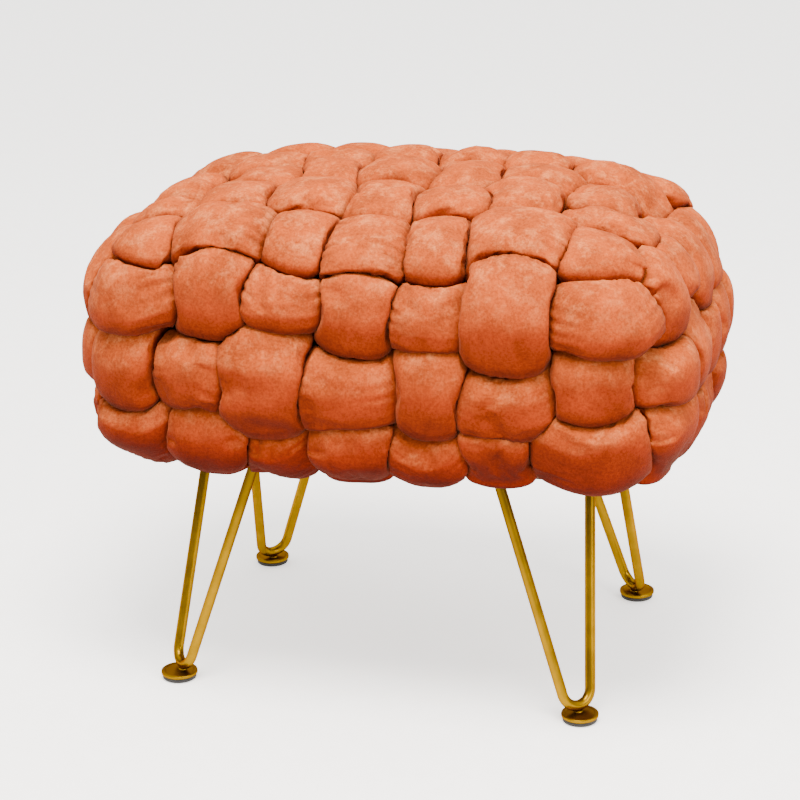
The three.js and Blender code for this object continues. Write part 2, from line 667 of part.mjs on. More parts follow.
addLeg('front_left', -1, -1);
addLeg('front_right', 1, -1);
addLeg('back_left', -1, 1);
addLeg('back_right', 1, 1);

export default group;
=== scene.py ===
import json
import math

import bmesh
import bpy
import numpy as np
from mathutils import Matrix, Vector

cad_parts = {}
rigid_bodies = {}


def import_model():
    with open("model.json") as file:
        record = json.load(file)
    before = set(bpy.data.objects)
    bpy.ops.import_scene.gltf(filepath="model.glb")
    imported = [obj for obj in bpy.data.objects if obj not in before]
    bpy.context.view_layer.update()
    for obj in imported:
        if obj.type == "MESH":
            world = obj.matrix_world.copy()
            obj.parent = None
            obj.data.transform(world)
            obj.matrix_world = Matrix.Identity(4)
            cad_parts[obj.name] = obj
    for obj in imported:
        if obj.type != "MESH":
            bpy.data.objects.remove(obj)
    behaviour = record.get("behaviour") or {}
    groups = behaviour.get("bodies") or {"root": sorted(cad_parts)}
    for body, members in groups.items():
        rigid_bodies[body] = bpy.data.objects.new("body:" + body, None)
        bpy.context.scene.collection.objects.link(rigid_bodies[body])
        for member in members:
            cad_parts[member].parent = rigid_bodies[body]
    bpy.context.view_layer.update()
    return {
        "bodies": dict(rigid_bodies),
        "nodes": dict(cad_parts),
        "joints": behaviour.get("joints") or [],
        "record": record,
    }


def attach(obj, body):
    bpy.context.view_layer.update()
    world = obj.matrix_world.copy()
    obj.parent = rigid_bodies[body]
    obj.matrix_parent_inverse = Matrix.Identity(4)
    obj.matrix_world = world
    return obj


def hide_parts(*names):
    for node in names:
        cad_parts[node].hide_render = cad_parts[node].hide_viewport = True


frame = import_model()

# The view. The pouf stands on a plain pale studio floor. A wide soft lamp hangs above it, a
# weaker one stands at the right, and the pale room fills the shadows.
MM = 0.001
CAMERA_PLACE = (0.571, -2.060, 0.992)
CAMERA_YAW = math.radians(15.77)
CAMERA_PITCH = math.radians(19.68)
CAMERA_ROLL = math.radians(-1.00)
CAMERA_LENS = 115.8
SENSOR_WIDTH = 36.0
FLOOR_SIZE = 14.0
FLOOR_PAPER = "#FFFFFF"
FLOOR_PAPER_SHADE = "#FBFAF9"
FLOOR_PAPER_PATCH = 16.7 * MM
# The paper gives off some light of its own, to look as pale as a brightly lit studio floor
FLOOR_GLOW = 0.9
FLOOR_BELOW_PADS = 0.5 * MM
ROOM_LIGHT = "#FFFDFA"
# How high up the room the ceiling's light is at its full strength
CEILING_HEIGHT = 0.8
CEILING_STRENGTH = 2.6
WALLS_STRENGTH = 0.2
# Where it stands, where it is aimed at, its width in m, its power in W, its colour
LAMPS = {
    "overhead_softbox": ((0.1, -0.6, 2.1), (0.0, 0.0, 0.3), 1.0, 100, "#FFF8F0"),
    "right_softbox": ((2.1, -1.2, 1.1), (0.0, 0.0, 0.3), 1.1, 44, "#FFF9F3"),
}


def linear(sheet_colour):
    """An sRGB hex colour as the linear colour that the nodes take."""
    parts = [int(sheet_colour[i:i + 2], 16) / 255 for i in (1, 3, 5)]
    return [p / 12.92 if p <= 0.04045 else ((p + 0.055) / 1.055) ** 2.4 for p in parts] + [1.0]


def add_node(material, kind, inputs, stops=(), **settings):
    """Adds a node with its settings, its values and its links, and the stops of a colour ramp."""
    tree = material.node_tree
    made = tree.nodes.new("ShaderNode" + kind)
    for name, value in settings.items():
        setattr(made, name, value)
    for socket, value in inputs.items():
        if isinstance(value, bpy.types.NodeSocket):
            tree.links.new(value, made.inputs[socket])
        else:
            made.inputs[socket].default_value = value
    for i, (place, colour) in enumerate(stops):
        ramp = made.color_ramp.elements
        stop = ramp[i] if i < 2 else ramp.new(place)
        stop.position = place
        stop.color = linear(colour)
    return made


def start_material(name):
    """A new material with its surface shader and the place on the piece in metres."""
    material = bpy.data.materials.new(name)
    material.use_nodes = True
    shader = material.node_tree.nodes["Principled BSDF"]
    place = add_node(material, "TexCoord", {}).outputs["Object"]
    return material, shader, place


def set_shader(material, shader, values):
    """Sets or links the surface shader's own sockets."""
    for socket, value in values.items():
        if isinstance(value, bpy.types.NodeSocket):
            material.node_tree.links.new(value, shader.inputs[socket])
        else:
            shader.inputs[socket].default_value = value


def aim(place, target):
    """The turn of a lamp that stands at a place and shines at the target."""
    return (Vector(target) - Vector(place)).to_track_quat("-Z", "Y").to_euler()


def keep_place():
    """Puts the new piece's place, turn and size in its mesh, and gives the piece."""
    bpy.ops.object.transform_apply(location=True, rotation=True, scale=True)
    return bpy.context.object


forward = Vector((-math.sin(CAMERA_YAW) * math.cos(CAMERA_PITCH),
                  math.cos(CAMERA_YAW) * math.cos(CAMERA_PITCH),
                  -math.sin(CAMERA_PITCH)))
level_right = Vector((math.cos(CAMERA_YAW), math.sin(CAMERA_YAW), 0))
level_up = level_right.cross(forward)
camera_right = level_right * math.cos(CAMERA_ROLL) + level_up * math.sin(CAMERA_ROLL)
camera_up = level_up * math.cos(CAMERA_ROLL) - level_right * math.sin(CAMERA_ROLL)
camera = bpy.data.objects.new("camera", bpy.data.cameras.new("camera"))
camera.data.lens = CAMERA_LENS
camera.data.sensor_width = SENSOR_WIDTH
turned = Matrix((camera_right, camera_up, -forward)).transposed().to_4x4()
camera.matrix_world = Matrix.Translation(CAMERA_PLACE) @ turned
bpy.context.scene.collection.objects.link(camera)
bpy.context.scene.camera = camera

for name, (place, target, width, power, colour) in LAMPS.items():
    lamp = bpy.data.lights.new(name, "AREA")
    lamp.shape = "DISK"
    lamp.size = width
    lamp.energy = power
    lamp.color = linear(colour)[:3]
    stand = bpy.data.objects.new(name, lamp)
    stand.location = place
    stand.rotation_euler = aim(place, target)
    bpy.context.scene.collection.objects.link(stand)

room = bpy.data.worlds.new("pale_room")
room.use_nodes = True
# The ceiling is brighter than the walls of the room
room_way = add_node(room, "TexCoord", {}).outputs["Generated"]
room_height = add_node(room, "SeparateXYZ", {"Vector": room_way})
room_strength = add_node(room, "MapRange", {"Value": room_height.outputs["Z"],
                                            "From Max": CEILING_HEIGHT, "To Min": WALLS_STRENGTH,
                                            "To Max": CEILING_STRENGTH},
                         interpolation_type="SMOOTHSTEP")
backdrop = room.node_tree.nodes["Background"]
backdrop.inputs["Color"].default_value = linear(ROOM_LIGHT)
room.node_tree.links.new(room_strength.outputs["Result"], backdrop.inputs["Strength"])
bpy.context.scene.world = room

# Seamless background paper: matt, with a tooth too fine to see but for a slight unevenness
paper, paper_shader, paper_place = start_material("matt_background_paper")
tooth = add_node(paper, "TexNoise", {"Vector": paper_place, "Scale": 1 / FLOOR_PAPER_PATCH,
                                     "Detail": 3.0})
paper_tone = add_node(paper, "ValToRGB", {"Fac": tooth.outputs["Fac"]},
                      stops=((0.3, FLOOR_PAPER_SHADE), (0.7, FLOOR_PAPER)))
set_shader(paper, paper_shader, {"Base Color": paper_tone.outputs["Color"], "Roughness": 0.92,
                                 "Specular IOR Level": 0.1, "Emission Color": linear(ROOM_LIGHT),
                                 "Emission Strength": FLOOR_GLOW})
bpy.ops.object.select_all(action="DESELECT")
bpy.ops.mesh.primitive_plane_add(size=FLOOR_SIZE, location=(0, 0, -FLOOR_BELOW_PADS))
floor = keep_place()
floor.name = "studio_floor"
floor.data.materials.append(paper)

# The base board. A plywood panel under the weave, which carries the legs' plates and which the
# tube ends are tucked in over. Sawn to shape with rounded corners, sanded and stained dark brown,
# partly as painted shade: its edge shows as a dark sliver under the weave, where there is shade.
VENEER_STAIN_PALE_AS_SHADE = "#6B4A2E"
VENEER_STAIN_DARK_AS_SHADE = "#49301D"
CORE_LINE = "#2E1E12"
GRAIN_WIDTH = 4 * MM
GRAIN_DEPTH = 0.4 * MM
# Coarser than in real plywood, so that they show
GLUE_LINES_APART = 15.08 * MM
# How far apart the bands of a wave texture are at scale 1
WAVE_LENGTH = math.pi / 10

# Poplar plywood stained dark brown, dark partly as painted shade under the weave: streaky veneer
# along the board, and dark glue lines between the plies on its sawn edge
plywood, board_shader, board_place = start_material("plywood_stained_dark_as_shade")
along_board = add_node(plywood, "Mapping", {"Vector": board_place, "Scale": (0.06, 1.0, 1.0)})
grain = add_node(plywood, "TexNoise", {"Vector": along_board.outputs["Vector"],
                                       "Scale": 1 / GRAIN_WIDTH, "Detail": 5.0, "Distortion": 0.4})
veneer = add_node(plywood, "ValToRGB", {"Fac": grain.outputs["Fac"]},
                  stops=((0.32, VENEER_STAIN_DARK_AS_SHADE), (0.68, VENEER_STAIN_PALE_AS_SHADE)))
plies = add_node(plywood, "TexWave", {"Vector": board_place,
                                      "Scale": WAVE_LENGTH / GLUE_LINES_APART,
                                      "Distortion": 0.2, "Detail": 1.0},
                 wave_type="BANDS", bands_direction="Z")
glue_line = add_node(plywood, "ValToRGB", {"Fac": plies.outputs["Fac"]},
                     stops=((0.25, "#000000"), (0.45, "#FFFFFF")))
facing = add_node(plywood, "NewGeometry", {})
facing_parts = add_node(plywood, "SeparateXYZ", {"Vector": facing.outputs["Normal"]})
flatness = add_node(plywood, "Math", {0: facing_parts.outputs["Z"]}, operation="ABSOLUTE")
plain_face = add_node(plywood, "Math", {0: flatness.outputs[0], 1: glue_line.outputs["Color"]},
                      operation="MAXIMUM")
board_colour = add_node(plywood, "Mix", {0: plain_face.outputs[0], 6: linear(CORE_LINE),
                                         7: veneer.outputs["Color"]}, data_type="RGBA")
board_relief = add_node(plywood, "Bump", {"Height": grain.outputs["Fac"], "Strength": 0.3,
                                          "Distance": GRAIN_DEPTH})
set_shader(plywood, board_shader, {"Base Color": board_colour.outputs[2], "Roughness": 0.72,
                                   "Specular IOR Level": 0.3,
                                   "Normal": board_relief.outputs["Normal"]})
board = frame["nodes"]["base_board"]
board.data.materials.clear()
board.data.materials.append(plywood)

# The hairpin legs. Each is one 9 mm steel rod, bent once at the foot, with both ends sawn level
# and welded to the mounting plate. Brass plated after welding, so beads and rod are one finish.
FOOT_X = 180 * MM
FOOT_Y = 132 * MM
ROD_RADIUS = 4.5 * MM
ROD_SIDES = 24
BEND_RADIUS = 14.5 * MM
BEND_STEPS = 18
ROD_TOP = 209.8 * MM
# Inward from the middle of the foot disc, as are all the places on a leg and its plate
BEND_INWARD = (2 * MM, 3 * MM)
OUTER_ROD_INWARD = (10 * MM, 84 * MM)
INNER_ROD_INWARD = (75 * MM, 14 * MM)
BEND_BOTTOM = 11.7 * MM
# The rods are made longer than they are, and then sawn level
SAWN_OFF = 6 * MM
BEAD_RADIUS = 1.9 * MM
BEAD_STANDS_OUT = 0.6 * MM
BEAD_SEGMENTS = (54, 10)
# Share of its radius that the bead's middle lies under the plate, and the height of its ripples
BEAD_LIES_UNDER = 0.8
BEAD_RIPPLES = 9
BEAD_RIPPLE = 0.07
BRASS_LIGHT = "#8E6A00"
BRASS_EDGE = "#C9A040"
BRASS = "#745500"
BRASS_IN_SEAT_SHADE = "#332400"
# Painted shade: the rods are painted browner from this height up to the seat, which shades them, and
# this much at the top
SEAT_SHADE_FROM = 90 * MM
SEAT_SHADE_STRENGTH = 0.8
TARNISH_PATCH = 26.3 * MM
# Wider than real draw marks are, so that they show
DRAW_MARK = 0.714 * MM
DRAW_MARK_STRETCH = 20
DRAW_MARK_DEPTH = 0.2 * MM
# Corners of a mesh that are closer than this are one corner
SAME_PLACE = 1e-7


def from_foot(inward, z):
    """A place on the front left leg, from inward distances of its foot disc."""
    return Vector((-FOOT_X + inward[0], -FOOT_Y + inward[1], z))


def edit(piece):
    """Opens one piece in edit mode."""
    bpy.ops.object.select_all(action="DESELECT")
    piece.select_set(True)
    bpy.context.view_layer.objects.active = piece
    bpy.ops.object.mode_set(mode="EDIT")


def pick(piece, kind, wanted):
    """Selects, in edit mode, the corners, edges or faces whose middle the test wants."""
    mesh = bmesh.from_edit_mesh(piece.data)
    for part in list(mesh.verts) + list(mesh.edges) + list(mesh.faces):
        part.select = False
    for part in getattr(mesh, kind):
        points = [part.co] if kind == "verts" else [v.co for v in part.verts]
        middle = sum(points, Vector()) / len(points)
        if wanted(piece.matrix_world @ middle, part):
            part.select_set(True)
    mesh.select_flush_mode()
    bmesh.update_edit_mesh(piece.data)


def finish_piece(piece, name, material, smooth_angle):
    """Leaves edit mode, puts the place in the mesh, and gives the piece its name and finish."""
    if bpy.context.mode != "OBJECT":
        bpy.ops.object.mode_set(mode="OBJECT")
    bpy.ops.object.select_all(action="DESELECT")
    piece.select_set(True)
    bpy.context.view_layer.objects.active = piece
    keep_place()
    piece.name = name
    piece.data.name = name
    piece.data.materials.clear()
    piece.data.materials.append(material)
    bpy.ops.object.shade_smooth_by_angle(angle=math.radians(smooth_angle))
    return piece


def join(parts):
    """Makes the parts one piece, the first of them."""
    bpy.ops.object.select_all(action="DESELECT")
    for part in parts:
        part.select_set(True)
    bpy.context.view_layer.objects.active = parts[0]
    bpy.ops.object.join()
    return parts[0]


def each_corner(piece, stem, node_stem):
    """Keeps the piece as the front left one, copies it to the other corners, and puts all on the
    root body in place of the CAD parts, which it hides.
    """
    made = []
    for corner, sign_x, sign_y in (("front_left", 1, 1), ("front_right", -1, 1),
                                   ("back_left", 1, -1), ("back_right", -1, -1)):
        copy = piece if corner == "front_left" else piece.copy()
        if copy is not piece:
            copy.data = piece.data.copy()
            bpy.context.scene.collection.objects.link(copy)
            copy.data.transform(Matrix.Diagonal((sign_x, sign_y, 1, 1)))
            mesh = bmesh.new()
            mesh.from_mesh(copy.data)
            bmesh.ops.remove_doubles(mesh, verts=mesh.verts, dist=SAME_PLACE)
            if sign_x * sign_y < 0:
                bmesh.ops.reverse_faces(mesh, faces=mesh.faces)
            mesh.to_mesh(copy.data)
            mesh.free()
        copy.name = copy.data.name = f"{stem}_{corner}"
        made.append((corner, copy))
    for corner, copy in made:
        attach(copy, "root")
        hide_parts(f"{node_stem}_{corner}")


# Brass plated steel: a mustard yellow metal, satin from the drawn rod under the plating, with
# faint cloudy tarnish and fine draw marks. It is painted browner towards the seat, as painted
# shade from the seat above it
brass, brass_shader, brass_place = start_material("satin_brass_plated_steel")
tarnish = add_node(brass, "TexNoise", {"Vector": brass_place, "Scale": 1 / TARNISH_PATCH,
                                       "Detail": 5.0, "Roughness": 0.62})
clean_tone = add_node(brass, "ValToRGB", {"Fac": tarnish.outputs["Fac"]},
                      stops=((0.30, BRASS), (0.70, BRASS_LIGHT)))
brass_parts = add_node(brass, "SeparateXYZ", {"Vector": brass_place})
# Painted shade under the seat: the rod tops are mixed towards a dark brown
painted_seat_shade = add_node(brass, "MapRange", {"Value": brass_parts.outputs["Z"],
                                         "From Min": SEAT_SHADE_FROM, "From Max": ROD_TOP,
                                         "To Max": SEAT_SHADE_STRENGTH})
brass_tone = add_node(brass, "Mix", {0: painted_seat_shade.outputs["Result"],
                                     6: clean_tone.outputs["Color"], 7: linear(BRASS_IN_SEAT_SHADE)},
                      data_type="RGBA")
draw_marks = add_node(brass, "Mapping", {"Vector": brass_place,
                                         "Scale": (1.0, 1.0, 1 / DRAW_MARK_STRETCH)})
fine_marks = add_node(brass, "TexNoise", {"Vector": draw_marks.outputs["Vector"],
                                          "Scale": 1 / DRAW_MARK, "Detail": 2.0})
brass_gloss = add_node(brass, "MapRange", {"Value": tarnish.outputs["Fac"], "To Min": 0.24,
                                           "To Max": 0.42})
brass_relief = add_node(brass, "Bump", {"Height": fine_marks.outputs["Fac"], "Strength": 0.12,
                                        "Distance": DRAW_MARK_DEPTH})
set_shader(brass, brass_shader, {"Specular Tint": linear(BRASS_EDGE),
                                 "Base Color": brass_tone.outputs[2], "Metallic": 1.0,
                                 "Roughness": brass_gloss.outputs["Result"],
                                 "Normal": brass_relief.outputs["Normal"]})

outer_top = from_foot(OUTER_ROD_INWARD, ROD_TOP)
inner_top = from_foot(INNER_ROD_INWARD, ROD_TOP)
bend_bottom = from_foot(BEND_INWARD, BEND_BOTTOM)
tops_middle = (outer_top + inner_top) / 2
leg_up = (tops_middle - bend_bottom).normalized()
leg_side = (inner_top - outer_top).normalized()
bend_centre = bend_bottom + leg_up * BEND_RADIUS
half_spread = (inner_top - outer_top).length / 2
leg_rise = (tops_middle - bend_centre).length
half_arc = (math.atan2(half_spread, leg_rise)
            + math.acos(BEND_RADIUS / math.hypot(half_spread, leg_rise)))


def on_bend(angle):
    """A place on the middle line of the bend, by its angle from the way up."""
    return bend_centre + BEND_RADIUS * (leg_side * math.sin(angle) + leg_up * math.cos(angle))


bend_start = on_bend(-half_arc)
bend_end = on_bend(half_arc)
outer_rod = (outer_top - bend_start).normalized()
inner_rod = (inner_top - bend_end).normalized()
bend_axis = leg_side.cross(leg_up)

bpy.ops.object.select_all(action="DESELECT")
bpy.ops.mesh.primitive_circle_add(vertices=ROD_SIDES, radius=ROD_RADIUS, location=bend_start,
                                  rotation=outer_rod.to_track_quat("Z", "Y").to_euler())
leg = keep_place()
edit(leg)
bpy.ops.mesh.select_all(action="SELECT")
turn = 2 * (math.pi - half_arc)
bpy.ops.mesh.spin(steps=BEND_STEPS, angle=-turn, center=bend_centre, axis=bend_axis)
reached = sum((v.co for v in bmesh.from_edit_mesh(leg.data).verts if v.select), Vector()) / ROD_SIDES
if (reached - bend_end).length > ROD_RADIUS:
    raise SystemExit("the bend of the leg turned the wrong way")
bpy.ops.mesh.extrude_region_move(
    TRANSFORM_OT_translate={"value": inner_rod * ((inner_top - bend_end).length + SAWN_OFF)})
# The first ring of the bend, by its distance from the middle and from the ring's own plane
pick(leg, "verts", lambda middle, part: (middle - bend_start).length < ROD_RADIUS * 1.05
     and abs((middle - bend_start).dot(outer_rod)) < 1e-5)
bpy.ops.mesh.extrude_region_move(
    TRANSFORM_OT_translate={"value": outer_rod * ((outer_top - bend_start).length + SAWN_OFF)})
bpy.ops.mesh.select_all(action="SELECT")
bpy.ops.mesh.bisect(plane_co=(0, 0, ROD_TOP), plane_no=(0, 0, 1), use_fill=True, clear_outer=True)
bpy.ops.mesh.select_all(action="SELECT")
bpy.ops.mesh.normals_make_consistent(inside=False)
bpy.ops.object.mode_set(mode="OBJECT")

beads = []
for top in (outer_top, inner_top):
    bpy.ops.mesh.primitive_torus_add(
        major_radius=ROD_RADIUS + BEAD_STANDS_OUT, minor_radius=BEAD_RADIUS,
        major_segments=BEAD_SEGMENTS[0], minor_segments=BEAD_SEGMENTS[1],
        location=top - Vector((0, 0, BEAD_RADIUS * BEAD_LIES_UNDER)))
    bead = keep_place()
    for vertex in bead.data.vertices:
        arm = vertex.co - top
        angle = math.atan2(arm.y, arm.x)
        swell = 1 + BEAD_RIPPLE * math.sin(BEAD_RIPPLES * angle)
        vertex.co.x = top.x + arm.x * swell
        vertex.co.y = top.y + arm.y * swell
        vertex.co.z = min(vertex.co.z, ROD_TOP)
    beads.append(bead)
leg = finish_piece(join([leg] + beads), "hairpin_leg_front_left", brass, smooth_angle=40)
each_corner(leg, "hairpin_leg", "leg")

# The mounting plates. Five sided 2.5 mm steel plates with rounded corners, brass plated with
# their legs, and held under the board by four dome headed cross slotted wood screws each.
PLATE_INWARD = ((2 * MM, 90 * MM), (7 * MM, 98 * MM))
PLATE_CUT = ((2 * MM, 74 * MM), (62 * MM, 7 * MM))
PLATE_THICK = 2.5 * MM
PLATE_BOTTOM = 210.15 * MM
PLATE_CORNER = 7 * MM
PLATE_EDGE = 0.4 * MM
SCREWS_INWARD = ((16 * MM, 90 * MM), (80 * MM, 90 * MM), (80 * MM, 40 * MM), (46 * MM, 66 * MM))
SCREW_HEAD_RADIUS = 4.2 * MM
SCREW_HEAD_HEIGHT = 1.9 * MM
SCREW_DOME = 1.2 * MM
# How far the first screw is turned, and how much further each next one is, in degrees
SCREW_TURNS = (17, 38)
SLOT_LENGTH = 5.2 * MM
SLOT_WIDTH = 1.1 * MM
SLOT_DEPTH = 0.9 * MM

(left_in, right_in), (front_in, back_in) = PLATE_INWARD
plate_middle = from_foot(((left_in + right_in) / 2, (front_in + back_in) / 2), PLATE_BOTTOM)
bpy.ops.object.select_all(action="DESELECT")
bpy.ops.mesh.primitive_plane_add(size=1, location=plate_middle)
plate = bpy.context.object
plate.scale = (right_in - left_in, back_in - front_in, 1)
keep_place()
edit(plate)
bpy.ops.mesh.select_all(action="SELECT")
cut_from, cut_to = (from_foot(corner, PLATE_BOTTOM) for corner in PLATE_CUT)
cut_line = (cut_to - cut_from).normalized()
bpy.ops.mesh.bisect(plane_co=cut_from, plane_no=Vector((cut_line.y, -cut_line.x, 0)),
                    clear_outer=True)
bpy.ops.mesh.select_all(action="SELECT")
bpy.ops.mesh.bevel(offset=PLATE_CORNER, segments=5, affect="VERTICES")
bpy.ops.mesh.select_all(action="SELECT")
bpy.ops.mesh.extrude_region_move(TRANSFORM_OT_translate={"value": (0, 0, PLATE_THICK)})
bpy.ops.mesh.select_all(action="SELECT")
bpy.ops.mesh.normals_make_consistent(inside=False)
pick(plate, "edges", lambda middle, part: abs(part.verts[0].co.z - part.verts[1].co.z) < 1e-6)
bpy.ops.mesh.bevel(offset=PLATE_EDGE, segments=2, affect="EDGES")
bpy.ops.object.mode_set(mode="OBJECT")

bpy.ops.object.select_all(action="DESELECT")
bpy.ops.mesh.primitive_cylinder_add(vertices=32, radius=SCREW_HEAD_RADIUS, depth=SCREW_HEAD_HEIGHT,
                                    location=(0, 0, -SCREW_HEAD_HEIGHT / 2))
screw = keep_place()
edit(screw)
pick(screw, "faces", lambda middle, part: part.normal.z < -0.9)
bpy.ops.mesh.bevel(offset=SCREW_DOME, segments=4, affect="EDGES")
bpy.ops.object.mode_set(mode="OBJECT")
for turned_by in (0.0, math.pi / 2):
    bpy.ops.mesh.primitive_cube_add(size=1, location=(0, 0, -SCREW_HEAD_HEIGHT))
    slot_cut = bpy.context.object
    slot_cut.scale = (SLOT_LENGTH, SLOT_WIDTH, SLOT_DEPTH * 2)
    slot_cut.rotation_euler = (0, 0, turned_by)
    cutting = screw.modifiers.new("cross_slot", "BOOLEAN")
    cutting.operation = "DIFFERENCE"
    cutting.object = slot_cut
    bpy.context.view_layer.objects.active = screw
    bpy.ops.object.modifier_apply(modifier="cross_slot")
    bpy.data.objects.remove(slot_cut)
screws = []
for i, inward in enumerate(SCREWS_INWARD):
    copy = screw.copy()
    copy.data = screw.data.copy()
    bpy.context.scene.collection.objects.link(copy)
    turned_head = Matrix.Rotation(math.radians(SCREW_TURNS[0] + SCREW_TURNS[1] * i), 4, "Z")
    copy.data.transform(Matrix.Translation(from_foot(inward, PLATE_BOTTOM)) @ turned_head)
    screws.append(copy)
bpy.data.objects.remove(screw)
plate = finish_piece(join([plate] + screws), "mounting_plate_with_screws_front_left", brass,
                     smooth_angle=30)
each_corner(plate, "mounting_plate_with_screws", "mounting_plate")

# The foot discs. Round 32 mm steel discs, 3 mm thick, with a rolled edge, welded under the bend
# of each leg and brass plated with it.
DISC_RADIUS = 16 * MM
DISC_THICK = 3 * MM
DISC_BOTTOM = 3.85 * MM
DISC_EDGE = 0.8 * MM
# The turned groove on top: in from the edge, how wide, how deep
DISC_GROOVE = (2.2 * MM, 0.6 * MM, 0.35 * MM)
WELD_LENGTH = 8.75 * MM
# Across and up, as shares of the rod's radius, and how deep the weld lies in the disc
WELD_WIDTH, WELD_HEIGHT = 0.95, 0.35
WELD_SINKS = 0.2 * MM

bpy.ops.object.select_all(action="DESELECT")
bpy.ops.mesh.primitive_cylinder_add(vertices=72, radius=DISC_RADIUS, depth=DISC_THICK,
                                    location=from_foot((0, 0), DISC_BOTTOM + DISC_THICK / 2))
disc = keep_place()
edit(disc)
pick(disc, "faces", lambda middle, part: abs(part.normal.z) > 0.9)
bpy.ops.mesh.bevel(offset=DISC_EDGE, segments=3, affect="EDGES")
pick(disc, "faces", lambda middle, part: part.normal.z > 0.9 and len(part.verts) > 8)
bpy.ops.mesh.inset(thickness=DISC_GROOVE[0])
bpy.ops.mesh.inset(thickness=DISC_GROOVE[1], depth=-DISC_GROOVE[2])
bpy.ops.object.mode_set(mode="OBJECT")
bpy.ops.mesh.primitive_uv_sphere_add(segments=24, ring_count=12, radius=ROD_RADIUS)
weld = bpy.context.object
weld.scale = (WELD_LENGTH / ROD_RADIUS / 2, WELD_WIDTH, WELD_HEIGHT)
weld.rotation_euler = (0, 0, math.atan2(leg_side.y, leg_side.x))
weld.location = from_foot(BEND_INWARD, DISC_BOTTOM + DISC_THICK - WELD_SINKS)
keep_place()
disc = finish_piece(join([disc, weld]), "foot_disc_welded_front_left", brass, smooth_angle=30)
each_corner(disc, "foot_disc_welded", "foot_disc")

# The rubber pads. Moulded black rubber rounds, glued under the foot discs, with a ribbed sole
# that keeps the pouf from sliding.
PAD_RADIUS = 14.8 * MM
PAD_THICK = 3.5 * MM
PAD_EDGE = 0.7 * MM
PAD_RIBS = 3
RIBS_APART = 2 * MM
RIB_WIDTH = 1.2 * MM
RIB_SLOPE = 0.3 * MM
RIB_DEPTH = 0.6 * MM
RUBBER_BLACK = "#1B1A19"
RUBBER_WORN = "#2B2927"
# Coarser than real mould grain, so that it shows
RUBBER_GRAIN = 6.25 * MM
RUBBER_GRAIN_DEPTH = 0.3 * MM

# Moulded rubber: dull black with a fine mould grain, dustier in patches
rubber, rubber_shader, rubber_place = start_material("moulded_black_rubber")
dust = add_node(rubber, "TexNoise", {"Vector": rubber_place, "Scale": 1 / RUBBER_GRAIN,
                                     "Detail": 4.0})
rubber_tone = add_node(rubber, "ValToRGB", {"Fac": dust.outputs["Fac"]},
                       stops=((0.4, RUBBER_BLACK), (0.75, RUBBER_WORN)))
rubber_relief = add_node(rubber, "Bump", {"Height": dust.outputs["Fac"], "Strength": 0.2,
                                          "Distance": RUBBER_GRAIN_DEPTH})
set_shader(rubber, rubber_shader, {"Base Color": rubber_tone.outputs["Color"], "Roughness": 0.78,
                                   "Normal": rubber_relief.outputs["Normal"]})

bpy.ops.object.select_all(action="DESELECT")
bpy.ops.mesh.primitive_cylinder_add(vertices=72, radius=PAD_RADIUS, depth=PAD_THICK,
                                    location=from_foot((0, 0), PAD_THICK / 2))
pad = keep_place()
edit(pad)
pick(pad, "faces", lambda middle, part: abs(part.normal.z) > 0.9)
bpy.ops.mesh.bevel(offset=PAD_EDGE, segments=3, affect="EDGES")
pick(pad, "faces", lambda middle, part: part.normal.z < -0.9 and len(part.verts) > 8)
for _ in range(PAD_RIBS):
    bpy.ops.mesh.inset(thickness=RIBS_APART)
    bpy.ops.mesh.inset(thickness=RIB_SLOPE, depth=-RIB_DEPTH)
    bpy.ops.mesh.inset(thickness=RIB_WIDTH)
    bpy.ops.mesh.inset(thickness=RIB_SLOPE, depth=RIB_DEPTH)
pad = finish_piece(pad, "ribbed_rubber_pad_front_left", rubber, smooth_angle=30)
each_corner(pad, "ribbed_rubber_pad", "rubber_pad")

# The woven seat. Fifteen sewn tubes of polyester velvet, about 76 mm across and filled with fibre:
# seven front to back, five left to right, three round the walls as bands. They are woven over one
# and under one and pulled tight, so each presses flats into its neighbours.

# The seat is worked out in mm. First the smooth form that the tubes are woven over
SEAT_HALF_X = 269
SEAT_HALF_Y = 175
SEAT_TOP = 432
SEAT_WAIST = 302
SEAT_BELOW_WAIST = 124
PLAN_ROUNDNESS = 4.6
DOME_ROUNDNESS = 3.4
CROWN = 7
# How far the outer layer of the walls hangs down, how deep in that goes, how square its corners
# are, and from which height up it fades
SAG = 5
SAG_DEPTH = 34
SAG_SQUARENESS = 8
SAG_LAYER_POWER = 0.25
SAG_FADES_FROM = 362
# Where the tubes cross
COLUMN_X = (-200, -130, -70, -4, 60, 124, 198)
ROW_Y = (-131, -68, 2, 62, 118)
UPRIGHT_Y = (-102, -44, 8, 58, 108)
BAND_Z = (367, 294, 235)
RIGHT_BAND_Z = (383, 306, 241)
# Each pass that the hand weaving pulled out of line, column and band: how far it lies to the
# right and up, and how much wider and prouder it is
FRONT_PASSES = {
    (1, 1): (-16, -6, -5, 4),
    (2, 1): (5, 17, 3, 2),
    (3, 1): (-2, 3, -9, 0),
    (4, 1): (3, 9, 2, 0),
    (5, 1): (-2, -4, -5, -3),
    (6, 1): (1, 12, 2, 10),
    (7, 1): (10, 2, -6, 8),
    (1, 2): (-17, -10, -2, 0),
    (2, 2): (-8, 2, -2, 0),
    (3, 2): (-13, -3, 8, 6),
    (4, 2): (-13, -4, -1, 2),
    (5, 2): (0, 0, -2, 0),
    (6, 2): (-6, -6, -3, 0),
    (7, 2): (-3, 13, -2, 0),
    (1, 3): (-16, -17, 3, 4),
    (2, 3): (-5, -6, 9, 2),
    (3, 3): (-12, -23, -6, -2),
    (4, 3): (-5, 0, 4, 2),
    (5, 3): (-5, -10, -13, 0),
    (6, 3): (-11, 17, -3, -2),
    (7, 3): (10, 11, -1, 4),
}
